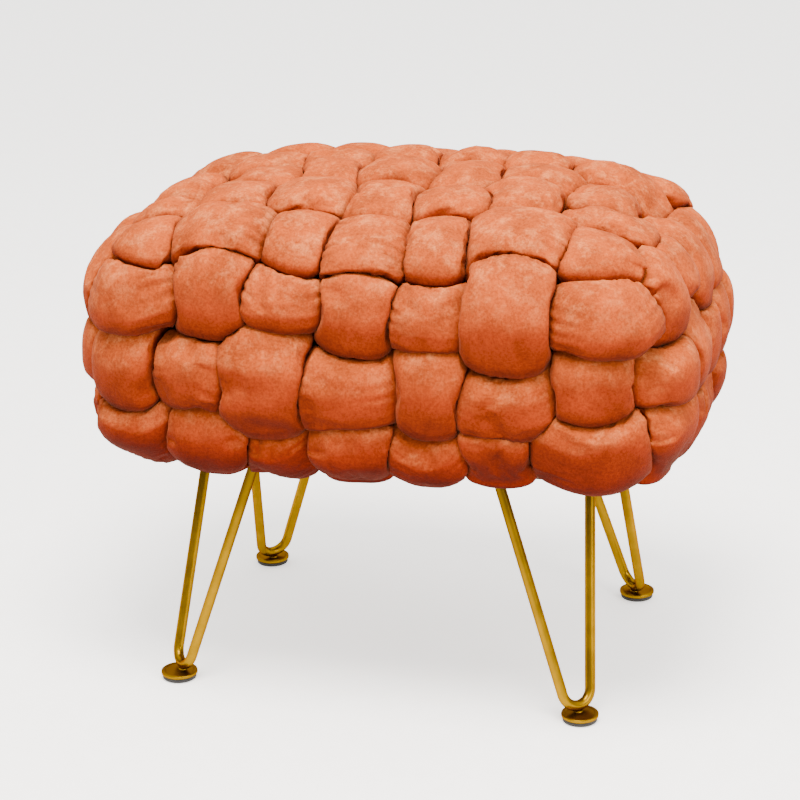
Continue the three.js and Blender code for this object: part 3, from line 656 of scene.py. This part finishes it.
# The same on top, column and row: right, back, wider, prouder
TOP_PASSES = {
    (1, 1): (0, 2, -2, 0),
    (2, 1): (6, 6, -1, 4),
    (3, 1): (10, -3, 3, 0),
    (4, 1): (4, -4, 0, 1),
    (5, 1): (-2, -2, -2, 0),
    (6, 1): (2, 18, 4, 5),
    (7, 1): (-3, 18, 10, 0),
    (1, 2): (-4, 2, -12, -3),
    (2, 2): (0, -4, 0, 0),
    (3, 2): (6, 4, 0, 2),
    (5, 2): (-2, 8, -6, 0),
    (6, 2): (-16, 34, 0, 3),
    (7, 2): (0, 20, -2, 0),
    (1, 3): (0, -6, -4, -2),
    (2, 3): (4, -6, 0, -4),
    (3, 3): (0, 4, -4, 0),
    (4, 3): (-8, 10, 0, 1),
    (5, 3): (-8, 14, 0, 1),
    (6, 3): (-13, 20, 2, 2),
    (7, 3): (-27, -4, -2, 0),
    (1, 4): (-4, 0, -8, -4),
    (2, 4): (-5, -18, 6, -2),
    (3, 4): (-6, -8, 6, -2),
    (4, 4): (-12, 8, 0, 2),
    (5, 4): (-14, 12, 0, 3),
    (6, 4): (-26, 14, 2, 3),
    (7, 4): (-24, 10, 6, 2),
}
# The same on the right wall, row and band: back, up, wider, prouder
RIGHT_PASSES = {
    (1, 1): (12, 5, -5, 0),
    (2, 1): (0, 8, -8, 0),
    (3, 1): (0, -3, 0, -2),
    (4, 1): (0, -8, 0, -5),
    (5, 1): (0, -8, 0, -6),
    (1, 2): (-8, 0, -7, 0),
    (2, 2): (0, 6, 2, 0),
    (1, 3): (0, 20, 6, 0),
}
IN_LINE = (0, 0, 0, 0)
# How strongly the velvet is gathered into short pleats at the two ends of a pass, by its tube and
# crossing. The other passes are gathered faintly
PLEATED = {
    ("row_1", 2): (0.3, 1.0),
    ("row_1", 4): (0.9, 1.0),
    ("row_1", 6): (0.3, 0.9),
    ("band_1", 1): (0.4, 0.8),
    ("band_1", 3): (0.9, 0.7),
    ("band_1", 5): (0.8, 0.4),
    ("band_1", 7): (0.4, 0.7),
    ("band_2", 2): (0.3, 0.6),
    ("band_2", 4): (0.5, 0.3),
    ("band_3", 3): (0.5, 0.3),
    ("column_4", 2): (0.6, 0.3),
    ("column_6", -1): (0.3, 0.6),
}
FAINT_PLEATS = 0.15
# Where pleats begin, are whole and end, in crossings from the middle of the pass
PLEATS_RISE = (0.17, 0.34)
PLEATS_END = 0.55
# The sine of the turn round the tube, from where pleats begin to where they are whole
PLEATS_OUTSIDE = (-0.1, 0.5)
PLEAT_WIDTH = 9
PLEAT_DEPTH = 2.1
PLEAT_SHARPNESS = 2.2
# Some pleats are deeper than their neighbours, and they waver a little along the tube
PLEAT_MEAN, PLEAT_SPREAD = 0.7, 0.3
PLEAT_GROUP = 31
PLEAT_WAVER = 70
# The lumps of the filling are waves of a few lengths added up, and fade where a tube is pressed
LUMP_WAVES = 7
LUMP_WAVES_PEAK = 3
LUMP_HEIGHT = 0.9
LUMP_LENGTH = 46
LUMP_LENGTH_SHARES = (0.7, 1.8)
LUMPS_FADE = 3
SEAT_SEED = 11
# Half the width and half the depth of a tube, where it lies over and where it lies under
OVER_HALF = (38, 25)
UNDER_HALF = (26, 14)
# How much deeper a tube lies where it is under, and how late it dives
DIVE = 33
DIVE_LATE = 1.6
# How square a free tube's section is, how sharply it turns where it meets another, and the room
# left between the two
TUBE_FULLNESS = 2.4
CREASE_SHARPNESS = 14
TUBE_GAP = 0.6
# Tube ends above the board: height, depth under the seat's face, half width, half depth
TUCKED_END = (210, 34, 30, 14)
STANDING_END = (229, 54, 22, 13)
END_DOME = 6
DOME_RINGS = 4
BOARD_HALF = (216, 126)
BOARD_HEIGHTS = (213, 225)
BOARD_MARGIN = 1.5
# How finely a tube is followed, where it is pressed by its neighbours and in its own skin
CONTACT_STEP = 5
CONTACT_REACH = 95
LENGTH_STEPS = 400
AHEAD_STEP = 0.001
RAYS = 88
RING_STEP = 4.2

columns = range(1, len(COLUMN_X) + 1)
rows = range(1, len(ROW_Y) + 1)
bands = range(1, len(BAND_Z) + 1)


def unit(vectors):
    """The same ways, each of length 1."""
    return vectors / np.maximum(np.linalg.norm(vectors, axis=-1, keepdims=True), 1e-12)


def smoothstep(value, low=0.0, high=1.0):
    """A share from 0 to 1 that starts and ends softly."""
    share = np.clip((value - low) / (high - low), 0, 1)
    return share * share * (3 - 2 * share)


def plan_term(x, y):
    """How far out a place is in plan: 1 on the seat's widest outline."""
    return (np.abs(x / SEAT_HALF_X) ** PLAN_ROUNDNESS
            + np.abs(y / SEAT_HALF_Y) ** PLAN_ROUNDNESS)


def rise_at(z):
    """How high the seat rises above its waist, or falls below it."""
    return np.where(np.asarray(z) > SEAT_WAIST, SEAT_TOP - SEAT_WAIST, SEAT_BELOW_WAIST)


def seat_normal(place):
    """The way out of the smooth form at a place on it."""
    x, y, z = place
    plan_pull = max(plan_term(x, y), 1e-9) ** (DOME_ROUNDNESS / PLAN_ROUNDNESS - 1)

    def pull(value, half, power):
        return np.sign(value) * abs(value / half) ** (power - 1) / half

    return unit(np.array([plan_pull * pull(x, SEAT_HALF_X, PLAN_ROUNDNESS),
                          plan_pull * pull(y, SEAT_HALF_Y, PLAN_ROUNDNESS),
                          pull(z - SEAT_WAIST, float(rise_at(z)), DOME_ROUNDNESS)]))


def on_top(x, y):
    """A place on the smooth form's crowned top."""
    share = 1 - plan_term(x, y) ** (DOME_ROUNDNESS / PLAN_ROUNDNESS)
    crown = CROWN * (1 - (x / SEAT_HALF_X) ** 2) * (1 - (y / SEAT_HALF_Y) ** 2)
    return np.array([x, y, SEAT_WAIST + (SEAT_TOP - SEAT_WAIST) * share ** (1 / DOME_ROUNDNESS)
                     + crown])


def wall_reach(share, half, z):
    """How far out a wall stands, at a share of the way along it and a height."""
    height = abs((z - SEAT_WAIST) / float(rise_at(z))) ** DOME_ROUNDNESS
    plan = (1 - height) ** (PLAN_ROUNDNESS / DOME_ROUNDNESS)
    return half * (plan - abs(share) ** PLAN_ROUNDNESS) ** (1 / PLAN_ROUNDNESS)


def on_wall(wall, sideways, z):
    """A place on one of the smooth form's walls."""
    if wall in ("front", "back"):
        y = wall_reach(sideways / SEAT_HALF_X, SEAT_HALF_Y, z)
        return np.array([sideways, -y if wall == "front" else y, z])
    x = wall_reach(sideways / SEAT_HALF_Y, SEAT_HALF_X, z)
    return np.array([x if wall == "right" else -x, sideways, z])


def knot(place, lies_over, pulled=IN_LINE):
    """One crossing of a tube: where it is on the seat, how deep it lies and how thick it is."""
    half_width, half_depth = OVER_HALF if lies_over else UNDER_HALF
    if lies_over:
        return (place, seat_normal(place), OVER_HALF[1] - pulled[3], True,
                half_width + pulled[2], half_depth)
    return place, seat_normal(place), OVER_HALF[1] + DIVE, False, half_width, half_depth


def tail(place, lies_over, up=0):
    """A tube's end, tucked in above the board, and pulled up by half as much as its last pass."""
    z, depth, half_width, half_depth = TUCKED_END if lies_over else STANDING_END
    level = unit(seat_normal(place) * np.array([1, 1, 0]))
    end = np.array([place[0], place[1], z + (up / 2 if lies_over else 0)])
    return end, level, depth, None, half_width, half_depth


def front_knot(column, band, lies_over):
    """The crossing of a column and a band on the front wall."""
    pulled = FRONT_PASSES[column, band]
    place = on_wall("front", COLUMN_X[column - 1] + pulled[0], BAND_Z[band - 1] + pulled[1])
    return knot(place, lies_over, pulled)


def top_knot(column, row, lies_over):
    """The crossing of a column and a row on top."""
    pulled = TOP_PASSES.get((column, row), IN_LINE)
    place = on_top(COLUMN_X[column - 1] + pulled[0], ROW_Y[row - 1] + pulled[1])
    return knot(place, lies_over, pulled)


# Over one and under one: which of two tubes lies over the other
def column_over_row(column, row):
    return (column + row) % 2 == 0


def column_over_band(column, band):
    return (column + band) % 2 == 1


def row_over_band(row, band):
    return (row + band) % 2 == 0


def right_knot(row, band, lies_over):
    """The crossing of a row and a band on the right wall."""
    pulled = RIGHT_PASSES.get((row, band), IN_LINE)
    place = on_wall("right", UPRIGHT_Y[row - 1] + pulled[0], RIGHT_BAND_Z[band - 1] + pulled[1])
    return knot(place, lies_over, pulled)


def upright(wall, sideways, lies_over):
    """A tube that has turned down at the edge and runs down a wall to its tucked end."""
    knots = [knot(on_wall(wall, sideways, z), lies_over(band)) for band, z in zip(bands, BAND_Z)]
    return knots + [tail(knots[-1][0], lies_over(bands[-1]))]


def column_knots(column):
    """Up the front wall, over the top and down the back wall."""
    def over(band):
        return column_over_band(column, band)

    last = bands[-1]
    front_low = front_knot(column, last, over(last))
    front = [tail(front_low[0], over(last), FRONT_PASSES[column, last][1])]
    front += [front_knot(column, band, over(band)) for band in reversed(bands)]
    top = [top_knot(column, row, column_over_row(column, row)) for row in rows]
    return front + top + upright("back", COLUMN_X[column - 1], over)


def row_knots(row):
    """Up the left wall, over the top and down the right wall."""
    def over(band):
        return row_over_band(row, band)

    top = [top_knot(column, row, not column_over_row(column, row)) for column in columns]
    right = [right_knot(row, band, over(band)) for band in bands]
    up = RIGHT_PASSES.get((row, bands[-1]), IN_LINE)[1]
    right.append(tail(right[-1][0], over(bands[-1]), up))
    return upright("left", UPRIGHT_Y[row - 1], over)[::-1] + top + right


def band_knots(band):
    """Once round the walls: front, right, back and left."""
    z = BAND_Z[band - 1]
    knots = [front_knot(column, band, not column_over_band(column, band)) for column in columns]
    knots += [right_knot(row, band, not row_over_band(row, band)) for row in rows]
    knots += [knot(on_wall("back", COLUMN_X[column - 1], z), not column_over_band(column, band))
              for column in reversed(columns)]
    knots += [knot(on_wall("left", UPRIGHT_Y[row - 1], z), not row_over_band(row, band))
              for row in reversed(rows)]
    return knots


class Tube:
    """A stuffed tube's middle line and its width and depth, through its crossings."""

    def __init__(self, name, knots, is_band, crossing_names):
        self.name = name
        self.is_band = is_band
        self.crossing_names = crossing_names
        self.spans = len(knots) if is_band else len(knots) - 1
        self.places, self.outward = (np.array([k[i] for k in knots], float) for i in (0, 1))
        self.depths = np.array([k[2] for k in knots], float)
        self.lies_over = np.array([k[3] is True for k in knots])
        self.lies_under = np.array([k[3] is False for k in knots])
        self.halves = np.array([k[4:6] for k in knots], float)

    def middle(self, along):
        """The middle, the way out and the half sizes, at places counted in crossings."""
        count = len(self.places)
        if self.is_band:
            along = along % self.spans
        first = np.clip(np.floor(along).astype(int), 0, self.spans - 1)
        share = along - first
        points = self.places
        if self.is_band:
            before, start, end, after = (points[(first + k) % count] for k in (-1, 0, 1, 2))
        else:
            longer = np.vstack([2 * points[0] - points[1], points, 2 * points[-1] - points[-2]])
            before, start, end, after = (longer[first + k] for k in (0, 1, 2, 3))
        t = share[:, None]
        on_face = (start * (2 * t ** 3 - 3 * t ** 2 + 1) + end * (3 * t ** 2 - 2 * t ** 3)
                   + (end - before) / 2 * (t ** 3 - 2 * t ** 2 + t)
                   + (after - start) / 2 * (t ** 3 - t ** 2))
        a, b = first % count, (first + 1) % count
        outward = unit((1 - t) * self.outward[a] + t * self.outward[b])
        dives = self.lies_over[a] & self.lies_under[b]
        comes_up = self.lies_under[a] & self.lies_over[b]
        blend = smoothstep(share)
        blend = np.where(dives, smoothstep(share ** DIVE_LATE), blend)
        blend = np.where(comes_up, 1 - smoothstep((1 - share) ** DIVE_LATE), blend)
        depth = self.depths[a] * (1 - blend) + self.depths[b] * blend
        halves = self.halves[a] * (1 - blend)[:, None] + self.halves[b] * blend[:, None]
        return on_face - outward * depth[:, None], outward, halves

    def sections(self, along):
        """The frames of the tube at these places, each one a middle, three ways and half sizes."""
        middle, outward, halves = self.middle(along)
        low, high = along - AHEAD_STEP, along + AHEAD_STEP
        if not self.is_band:
            low, high = np.maximum(low, 0), np.minimum(high, self.spans)
        ahead = unit(self.middle(high)[0] - self.middle(low)[0])
        across = unit(np.cross(ahead, outward))
        return {"middle": middle, "ahead": ahead, "across": across,
                "out": np.cross(across, ahead), "half_width": halves[:, 0],
                "half_depth": halves[:, 1]}

    def length(self):
        """The length of the middle line."""
        line = self.middle(np.linspace(0, self.spans, LENGTH_STEPS))[0]
        return np.linalg.norm(np.diff(line, axis=0), axis=1).sum()


# A crossing is named by the row or column on top, or by minus the band on the front wall
no_names = [0] * (len(bands) + 1)
down_front = [0] + [-band for band in reversed(bands)]
tubes = [Tube(f"column_{c}", column_knots(c), False, down_front + list(rows) + no_names)
         for c in columns]
tubes += [Tube(f"row_{r}", row_knots(r), False, no_names + list(columns) + no_names)
          for r in rows]
around_names = list(columns) + [0] * (2 * len(rows) + len(columns))
tubes += [Tube(f"band_{b}", band_knots(b), True, around_names) for b in bands]

# Every tube as a chain of soft balls of filling, against which the others are pressed
chains = [tube.sections(np.linspace(0, tube.spans, math.ceil(tube.length() / CONTACT_STEP) + 1))
          for tube in tubes]
chain_owner = np.concatenate([np.full(len(s["middle"]), i) for i, s in enumerate(chains)])
chain_middle = np.concatenate([s["middle"] for s in chains])
chain_measure = np.stack([
    np.concatenate([s["across"] / s["half_width"][:, None] for s in chains]),
    np.concatenate([s["out"] / s["half_depth"][:, None] for s in chains]),
    np.concatenate([s["ahead"] / s["half_depth"][:, None] for s in chains])], axis=1)


def reach_to_neighbours(owner, middle, rays, own_rates):
    """How far each ray goes before it is as deep in each near tube as it is in its own."""
    away = ((chain_middle - middle) ** 2).sum(axis=1)
    near = np.nonzero((away < CONTACT_REACH ** 2) & (chain_owner != owner))[0]
    if len(near) == 0:
        return np.full((len(rays), 1), np.inf)
    start = np.einsum("sij,sj->si", chain_measure[near], middle - chain_middle[near])
    slope = np.einsum("sij,rj->rsi", chain_measure[near], rays)
    square = (slope ** 2).sum(axis=2) - own_rates[:, None] ** 2
    line = (slope * start).sum(axis=2)
    ground = (start ** 2).sum(axis=1)
    root = line ** 2 - square * ground
    divisor = np.sqrt(np.maximum(root, 0)) - line
    meets = (root >= 0) & (divisor > 0)
    reach = np.where(meets, ground / np.where(meets, divisor, 1), np.inf)
    whose = chain_owner[near]
    starts = np.nonzero(np.r_[True, whose[1:] != whose[:-1]])[0]
    return np.minimum.reduceat(reach, starts, axis=1)


def reach_to_board(middle, rays):
    """How far each ray goes before it meets the base board."""
    low = np.array([-BOARD_HALF[0], -BOARD_HALF[1], BOARD_HEIGHTS[0]]) - BOARD_MARGIN
    high = np.array([BOARD_HALF[0], BOARD_HALF[1], BOARD_HEIGHTS[1]]) + BOARD_MARGIN
    safe = np.where(np.abs(rays) < 1e-9, 1e-9, rays)
    one, other = (low - middle) / safe, (high - middle) / safe
    enters = np.maximum(np.minimum(one, other).max(axis=1), 0)
    leaves = np.maximum(one, other).min(axis=1)
    return np.where(enters < leaves, enters, np.inf)


def press_section(owner, section, i, turns):
    """The tube's skin around one section, and how far it is pressed in from its free shape."""
    rays = (np.cos(turns)[:, None] * section["across"][i]
            + np.sin(turns)[:, None] * section["out"][i])
    width_share = np.abs(np.cos(turns)) / section["half_width"][i]
    depth_share = np.abs(np.sin(turns)) / section["half_depth"][i]
    free = ((width_share ** TUBE_FULLNESS + depth_share ** TUBE_FULLNESS)
            ** (CREASE_SHARPNESS / TUBE_FULLNESS))
    middle = section["middle"][i]
    others = reach_to_neighbours(owner, middle, rays, np.hypot(width_share, depth_share))
    board_stop = reach_to_board(middle, rays) + TUBE_GAP / 2
    total = free + (others ** -CREASE_SHARPNESS).sum(axis=1) + board_stop ** -CREASE_SHARPNESS
    radius = total ** (-1 / CREASE_SHARPNESS) - TUBE_GAP / 2
    return middle + rays * radius[:, None], 1 - radius * free ** (1 / CREASE_SHARPNESS)


def sag(points):
    """The stuffing settles: the outer layer of the walls hangs a little lower."""
    flat = points.reshape(-1, 3)
    x, y, z = flat.T
    height = np.abs((z - SEAT_WAIST) / rise_at(z)) ** SAG_SQUARENESS
    inward = SEAT_HALF_Y * (1 - (plan_term(x, y) + height) ** SAG_LAYER_POWER)
    outer = 1 - smoothstep(inward, 0, SAG_DEPTH)
    on_walls = 1 - smoothstep(z, SAG_FADES_FROM, SEAT_TOP)
    flat[:, 2] -= SAG * outer * on_walls
    return flat.reshape(points.shape)


def gathered_at(tube, along, turns):
    """How strongly the velvet is gathered into pleats: only outside, and where a pass dives."""
    strength = np.zeros_like(along)
    for number in np.nonzero(tube.lies_over)[0]:
        crossing = tube.crossing_names[number]
        before, after = PLEATED.get((tube.name, crossing), (FAINT_PLEATS, FAINT_PLEATS))
        way = along - number
        if tube.is_band:
            way = (way + tube.spans / 2) % tube.spans - tube.spans / 2
        side = np.where(way < 0, before, after)
        fades = smoothstep(np.abs(way), *PLEATS_RISE) * (np.abs(way) < PLEATS_END)
        strength = np.maximum(strength, side * fades)
    outside = smoothstep(np.sin(turns), *PLEATS_OUTSIDE)
    return strength[:, None] * outside[None, :]


def pleat_grooves(rings, gathered, random):
    """How deep each place lies in a pleat, from 0 to 1. Pleats run along the tube."""
    step = np.linalg.norm(rings - np.roll(rings, 1, axis=1), axis=2)
    around = np.cumsum(step, axis=1)
    around -= around[:, around.shape[1] // 2, None]
    forward = np.linalg.norm(np.diff(rings.mean(axis=1), axis=0, prepend=0), axis=1)
    forward[0] = 0
    phase = random.uniform(0, 2 * math.pi, 3)
    waver = np.sin(2 * math.pi * np.cumsum(forward)[:, None] / PLEAT_WAVER + phase[0])
    fold = (1 + np.sin(2 * math.pi * around / PLEAT_WIDTH + waver + phase[1])) / 2
    group = PLEAT_MEAN + PLEAT_SPREAD * np.sin(2 * math.pi * around / PLEAT_GROUP + phase[2])
    return fold ** PLEAT_SHARPNESS * group * gathered


def lumps_of_filling(points, random):
    """Soft low lumps, as fibre filling has, added up from a few waves across the seat."""
    height = np.zeros(points.shape[:2])
    for _ in range(LUMP_WAVES):
        way = unit(random.normal(size=3)) * 2 * math.pi
        way = way / (LUMP_LENGTH * random.uniform(*LUMP_LENGTH_SHARES))
        height += np.sin(points @ way + random.uniform(0, 2 * math.pi))
    return height * LUMP_HEIGHT / LUMP_WAVES_PEAK


def skin_faces(rings, around, is_band):
    """The four sided faces between the rings of a skin."""
    corner = np.arange(around)
    following = (corner + 1) % around
    faces = []
    for ring in range(rings if is_band else rings - 1):
        ahead = (ring + 1) % rings
        faces.append(np.stack([ring * around + corner, ahead * around + corner,
                               ahead * around + following, ring * around + following], axis=1))
    return np.concatenate(faces)


def round_off(rings, section):
    """Closes both ends of a tube with a low dome, as a gathered and stitched end has."""
    domes = []
    for end, way in ((0, -1), (-1, 1)):
        ring = rings[end]
        middle = ring.mean(axis=0)
        angles = math.pi / 2 * np.arange(1, DOME_RINGS + 1) / (DOME_RINGS + 0.5)
        domes.append([middle + (ring - middle) * math.cos(angle)
                      + section["ahead"][end] * way * END_DOME * math.sin(angle)
                      for angle in angles])
    return np.concatenate([domes[0][::-1], rings, domes[1]])


turns = 2 * math.pi * (np.arange(RAYS) + 0.5) / RAYS - math.pi / 2
seat_random = np.random.default_rng(SEAT_SEED)
skins = []
for owner, tube in enumerate(tubes):
    ring_count = math.ceil(tube.length() / RING_STEP)
    if tube.is_band:
        along = np.arange(ring_count) * tube.spans / ring_count
    else:
        along = np.linspace(0, tube.spans, ring_count)
    section = tube.sections(along)
    made = [press_section(owner, section, i, turns) for i in range(len(along))]
    rings = np.array([m[0] for m in made])
    pressed = np.array([m[1] for m in made])
    gathered = gathered_at(tube, along, turns)
    outward = unit(rings - section["middle"][:, None])
    free = np.clip(1 - LUMPS_FADE * pressed, 0, 1)[..., None]
    gathered = pleat_grooves(rings, gathered, seat_random)
    swell = free * lumps_of_filling(rings, seat_random)[..., None]
    rings = rings + outward * (swell - PLEAT_DEPTH * gathered[..., None])
    if not tube.is_band:
        rings = round_off(rings, section)
        pressed, gathered = (np.pad(mark, ((DOME_RINGS, DOME_RINGS), (0, 0)), mode="edge")
                             for mark in (pressed, gathered))
    skins.append((sag(rings), pressed, gathered))

# Velvet colours with painted light and shade: crease shade, shaded underside, half shaded side, half
# lit shoulder, lit crown, and pale frost that is partly painted sheen
VELVET_CREASE_SHADE = "#4A1204"
VELVET_SHADED_UNDERSIDE = "#561602"
VELVET_HALF_SHADED_SIDE = "#882E0B"
VELVET_HALF_LIT_SHOULDER = "#A94A1B"
VELVET_LIT_CROWN = "#B0501D"
VELVET_FROST_AND_SHEEN = "#D8854F"
CLOUD_DARK = "#D9D4D2"
CLOUD_PALE = "#FFFFFF"
NAP_DARK = "#D8D0CC"
VELVET_SHEEN = "#FFB486"
CLOUD_SIZE = 33.3 * MM
FROST_SIZE = 16.1 * MM
# Coarser than real velvet pile, so that it shows
NAP_TUFT = 2.38 * MM
NAP_DEPTH = 1 * MM
PLEAT_SHADE = 0.42
# Painted shade: the lowest passes, which see little of the lamps, are painted deeper, from and to
# this height
LOW_PAINTED_SHADE = "#D0A078"
LOW_PASSES = (190 * MM, 300 * MM)

# Polyester velvet: a short dense pile, softly clouded. Painted light and shade on it: faces turned
# up to the lamp are painted pale and faces turned down deep and saturated, pale frost patches on
# the crowns are partly painted sheen, and its creases and pleat grooves are painted dark as shade
velvet, velvet_shader, velvet_place = start_material("crushed_polyester_velvet")
velvet_facing = add_node(velvet, "NewGeometry", {})
velvet_up = add_node(velvet, "SeparateXYZ", {"Vector": velvet_facing.outputs["Normal"]})
# Painted light: the colour follows how far a face turns up to the lamp, from painted shade below to
# painted highlight on top
painted_light_facing = add_node(velvet, "MapRange", {"Value": velvet_up.outputs["Z"], "From Min": -0.8})
pile_and_painted_light = add_node(velvet, "ValToRGB", {"Fac": painted_light_facing.outputs["Result"]},
                stops=((0.12, VELVET_SHADED_UNDERSIDE), (0.95, VELVET_LIT_CROWN), (0.42, VELVET_HALF_SHADED_SIDE),
                       (0.68, VELVET_HALF_LIT_SHOULDER)))
clouds = add_node(velvet, "TexNoise", {"Vector": velvet_place, "Scale": 1 / CLOUD_SIZE,
                                       "Detail": 5.0, "Roughness": 0.6})
cloud_tone = add_node(velvet, "ValToRGB", {"Fac": clouds.outputs["Fac"]},
                      stops=((0.35, CLOUD_DARK), (0.62, CLOUD_PALE)))
clouded = add_node(velvet, "Mix", {0: 1.0, 6: pile_and_painted_light.outputs["Color"],
                                   7: cloud_tone.outputs["Color"]},
                   data_type="RGBA", blend_type="MULTIPLY")
frost = add_node(velvet, "TexNoise", {"Vector": velvet_place, "Scale": 1 / FROST_SIZE,
                                      "Detail": 9.0, "Roughness": 0.75})
frost_spots = add_node(velvet, "MapRange", {"Value": frost.outputs["Fac"], "From Min": 0.48,
                                            "From Max": 0.74, "To Max": 0.75})
# Partly painted sheen: the pale frost patches show only on faces turned up to the lamp
painted_sheen_facing_up = add_node(velvet, "MapRange", {"Value": velvet_up.outputs["Z"], "From Max": 0.7})
frost_and_painted_sheen = add_node(velvet, "Math", {0: frost_spots.outputs["Result"],
                                     1: painted_sheen_facing_up.outputs["Result"]}, operation="MULTIPLY")
frosted_and_sheened = add_node(velvet, "Mix", {0: frost_and_painted_sheen.outputs[0], 6: clouded.outputs[2],
                                   7: linear(VELVET_FROST_AND_SHEEN)}, data_type="RGBA")
gather = add_node(velvet, "Attribute", {}, attribute_name="gathered", attribute_type="GEOMETRY")
creased = add_node(velvet, "Attribute", {}, attribute_name="pressed", attribute_type="GEOMETRY")
crease_shade = add_node(velvet, "MapRange", {"Value": creased.outputs["Fac"], "From Min": 0.02,
                                             "From Max": 0.5, "To Max": 0.8})
pleat_shade = add_node(velvet, "Math", {0: gather.outputs["Fac"], 1: PLEAT_SHADE},
                       operation="MULTIPLY")
all_shade = add_node(velvet, "Math", {0: crease_shade.outputs["Result"],
                                      1: pleat_shade.outputs[0]}, operation="MAXIMUM")
# Painted shade: creases where tubes press together, and pleat grooves, are mixed towards a dark red
# brown
shaded = add_node(velvet, "Mix", {0: all_shade.outputs[0], 6: frosted_and_sheened.outputs[2],
                                  7: linear(VELVET_CREASE_SHADE)}, data_type="RGBA")
nap = add_node(velvet, "TexNoise", {"Vector": velvet_place, "Scale": 1 / NAP_TUFT,
                                    "Detail": 4.0, "Roughness": 0.75})
nap_tone = add_node(velvet, "ValToRGB", {"Fac": nap.outputs["Fac"]},
                    stops=((0.38, NAP_DARK), (0.6, CLOUD_PALE)))
napped = add_node(velvet, "Mix", {0: 1.0, 6: shaded.outputs[2], 7: nap_tone.outputs["Color"]},
                  data_type="RGBA", blend_type="MULTIPLY")
velvet_place_parts = add_node(velvet, "SeparateXYZ", {"Vector": velvet_place})
# Painted shade: the velvet is painted darker towards the bottom of the seat
painted_low_shade = add_node(velvet, "MapRange", {"Value": velvet_place_parts.outputs["Z"],
                                         "From Min": LOW_PASSES[0], "From Max": LOW_PASSES[1],
                                         "To Min": 1.0, "To Max": 0.0},
                    interpolation_type="SMOOTHSTEP")
shaded_low_down = add_node(velvet, "Mix", {0: painted_low_shade.outputs["Result"], 6: napped.outputs[2],
                                    7: linear(LOW_PAINTED_SHADE)}, data_type="RGBA",
                    blend_type="MULTIPLY")
nap_relief = add_node(velvet, "Bump", {"Height": nap.outputs["Fac"], "Strength": 0.6,
                                       "Distance": NAP_DEPTH})
set_shader(velvet, velvet_shader, {
    "Base Color": shaded_low_down.outputs[2], "Roughness": 0.95, "Specular IOR Level": 0.06,
    "Sheen Weight": 0.07, "Sheen Roughness": 0.35, "Sheen Tint": linear(VELVET_SHEEN),
    "Normal": nap_relief.outputs["Normal"]})

# The velvet settles over its filling as slack cloth, held where other tubes press on it. It is
# cut 5% larger than the filling that swells it
CLOTH_FRAMES = 8
CLOTH_MOVES_MOST = 2.5 * MM
CLOTH = {
    "quality": 4,
    "mass": 0.2,
    "tension_stiffness": 20,
    "compression_stiffness": 20,
    "shear_stiffness": 8,
    "bending_stiffness": 0.5,
    "use_pressure": True,
    "uniform_pressure_force": 4,
    "shrink_min": -0.05,
    "vertex_group_mass": "held",
}
# The share pressed in from which a place is held, the share at which it is wholly held, and the
# number of grades between them
HELD_FROM, HELD_WHOLE = 0.03, 0.28
HELD_STEPS = 8


def vertex_places(mesh):
    """The places of all corners of a mesh."""
    places = np.empty(len(mesh.vertices) * 3)
    mesh.vertices.foreach_get("co", places)
    return places.reshape(-1, 3)


def settle_as_cloth(pieces):
    """Lets the velvet of every tube settle as slack cloth under the filling's pressure."""
    for piece, _, pressed in pieces:
        hold = np.clip((pressed.ravel() - HELD_FROM) / (HELD_WHOLE - HELD_FROM), 0, 1)
        held = piece.vertex_groups.new(name="held")
        level = np.round(hold * HELD_STEPS).astype(int)
        for step in range(1, HELD_STEPS + 1):
            held.add(np.nonzero(level == step)[0].tolist(), step / HELD_STEPS, "REPLACE")
        cloth = piece.modifiers.new("settling", "CLOTH")
        cloth.point_cache.frame_start, cloth.point_cache.frame_end = 1, CLOTH_FRAMES
        cloth.collision_settings.use_collision = False
        for setting, value in CLOTH.items():
            setattr(cloth.settings, setting, value)
        cloth.settings.effector_weights.gravity = 0
    for frame in range(1, CLOTH_FRAMES + 1):
        bpy.context.scene.frame_set(frame)
    settled = []
    for piece, _, _ in pieces:
        soft = piece.evaluated_get(bpy.context.evaluated_depsgraph_get()).to_mesh()
        settled.append(vertex_places(soft))
    bpy.context.scene.frame_set(1)
    for (piece, _, _), places in zip(pieces, settled):
        piece.modifiers.clear()
        piece.vertex_groups.clear()
        start = vertex_places(piece.data)
        way = places - start
        moved = np.linalg.norm(way, axis=1, keepdims=True)
        way *= np.minimum(1, CLOTH_MOVES_MOST / np.maximum(moved, 1e-9))
        piece.data.vertices.foreach_set("co", (start + way).ravel())
        piece.data.update()


velvet_tubes = []
for tube, (skin, pressed, gathered) in zip(tubes, skins):
    rings, around = skin.shape[:2]
    faces = skin_faces(rings, around, tube.is_band).tolist()
    if not tube.is_band:
        faces.append(list(range(around)))
        faces.append([(rings - 1) * around + i for i in reversed(range(around))])
    mesh = bpy.data.meshes.new("velvet_" + tube.name)
    mesh.from_pydata((skin.reshape(-1, 3) * MM).tolist(), [], faces)
    for name, marks in (("pressed", pressed), ("gathered", gathered)):
        mesh.attributes.new(name, "FLOAT", "POINT").data.foreach_set("value", marks.ravel())
    mesh.polygons.foreach_set("use_smooth", [True] * len(mesh.polygons))
    mesh.materials.append(velvet)
    mesh.update()
    piece = bpy.data.objects.new("velvet_" + tube.name, mesh)
    bpy.context.scene.collection.objects.link(piece)
    velvet_tubes.append((piece, tube.name, pressed))
settle_as_cloth(velvet_tubes)
for piece, node, _ in velvet_tubes:
    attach(piece, "root")
    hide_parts(node)
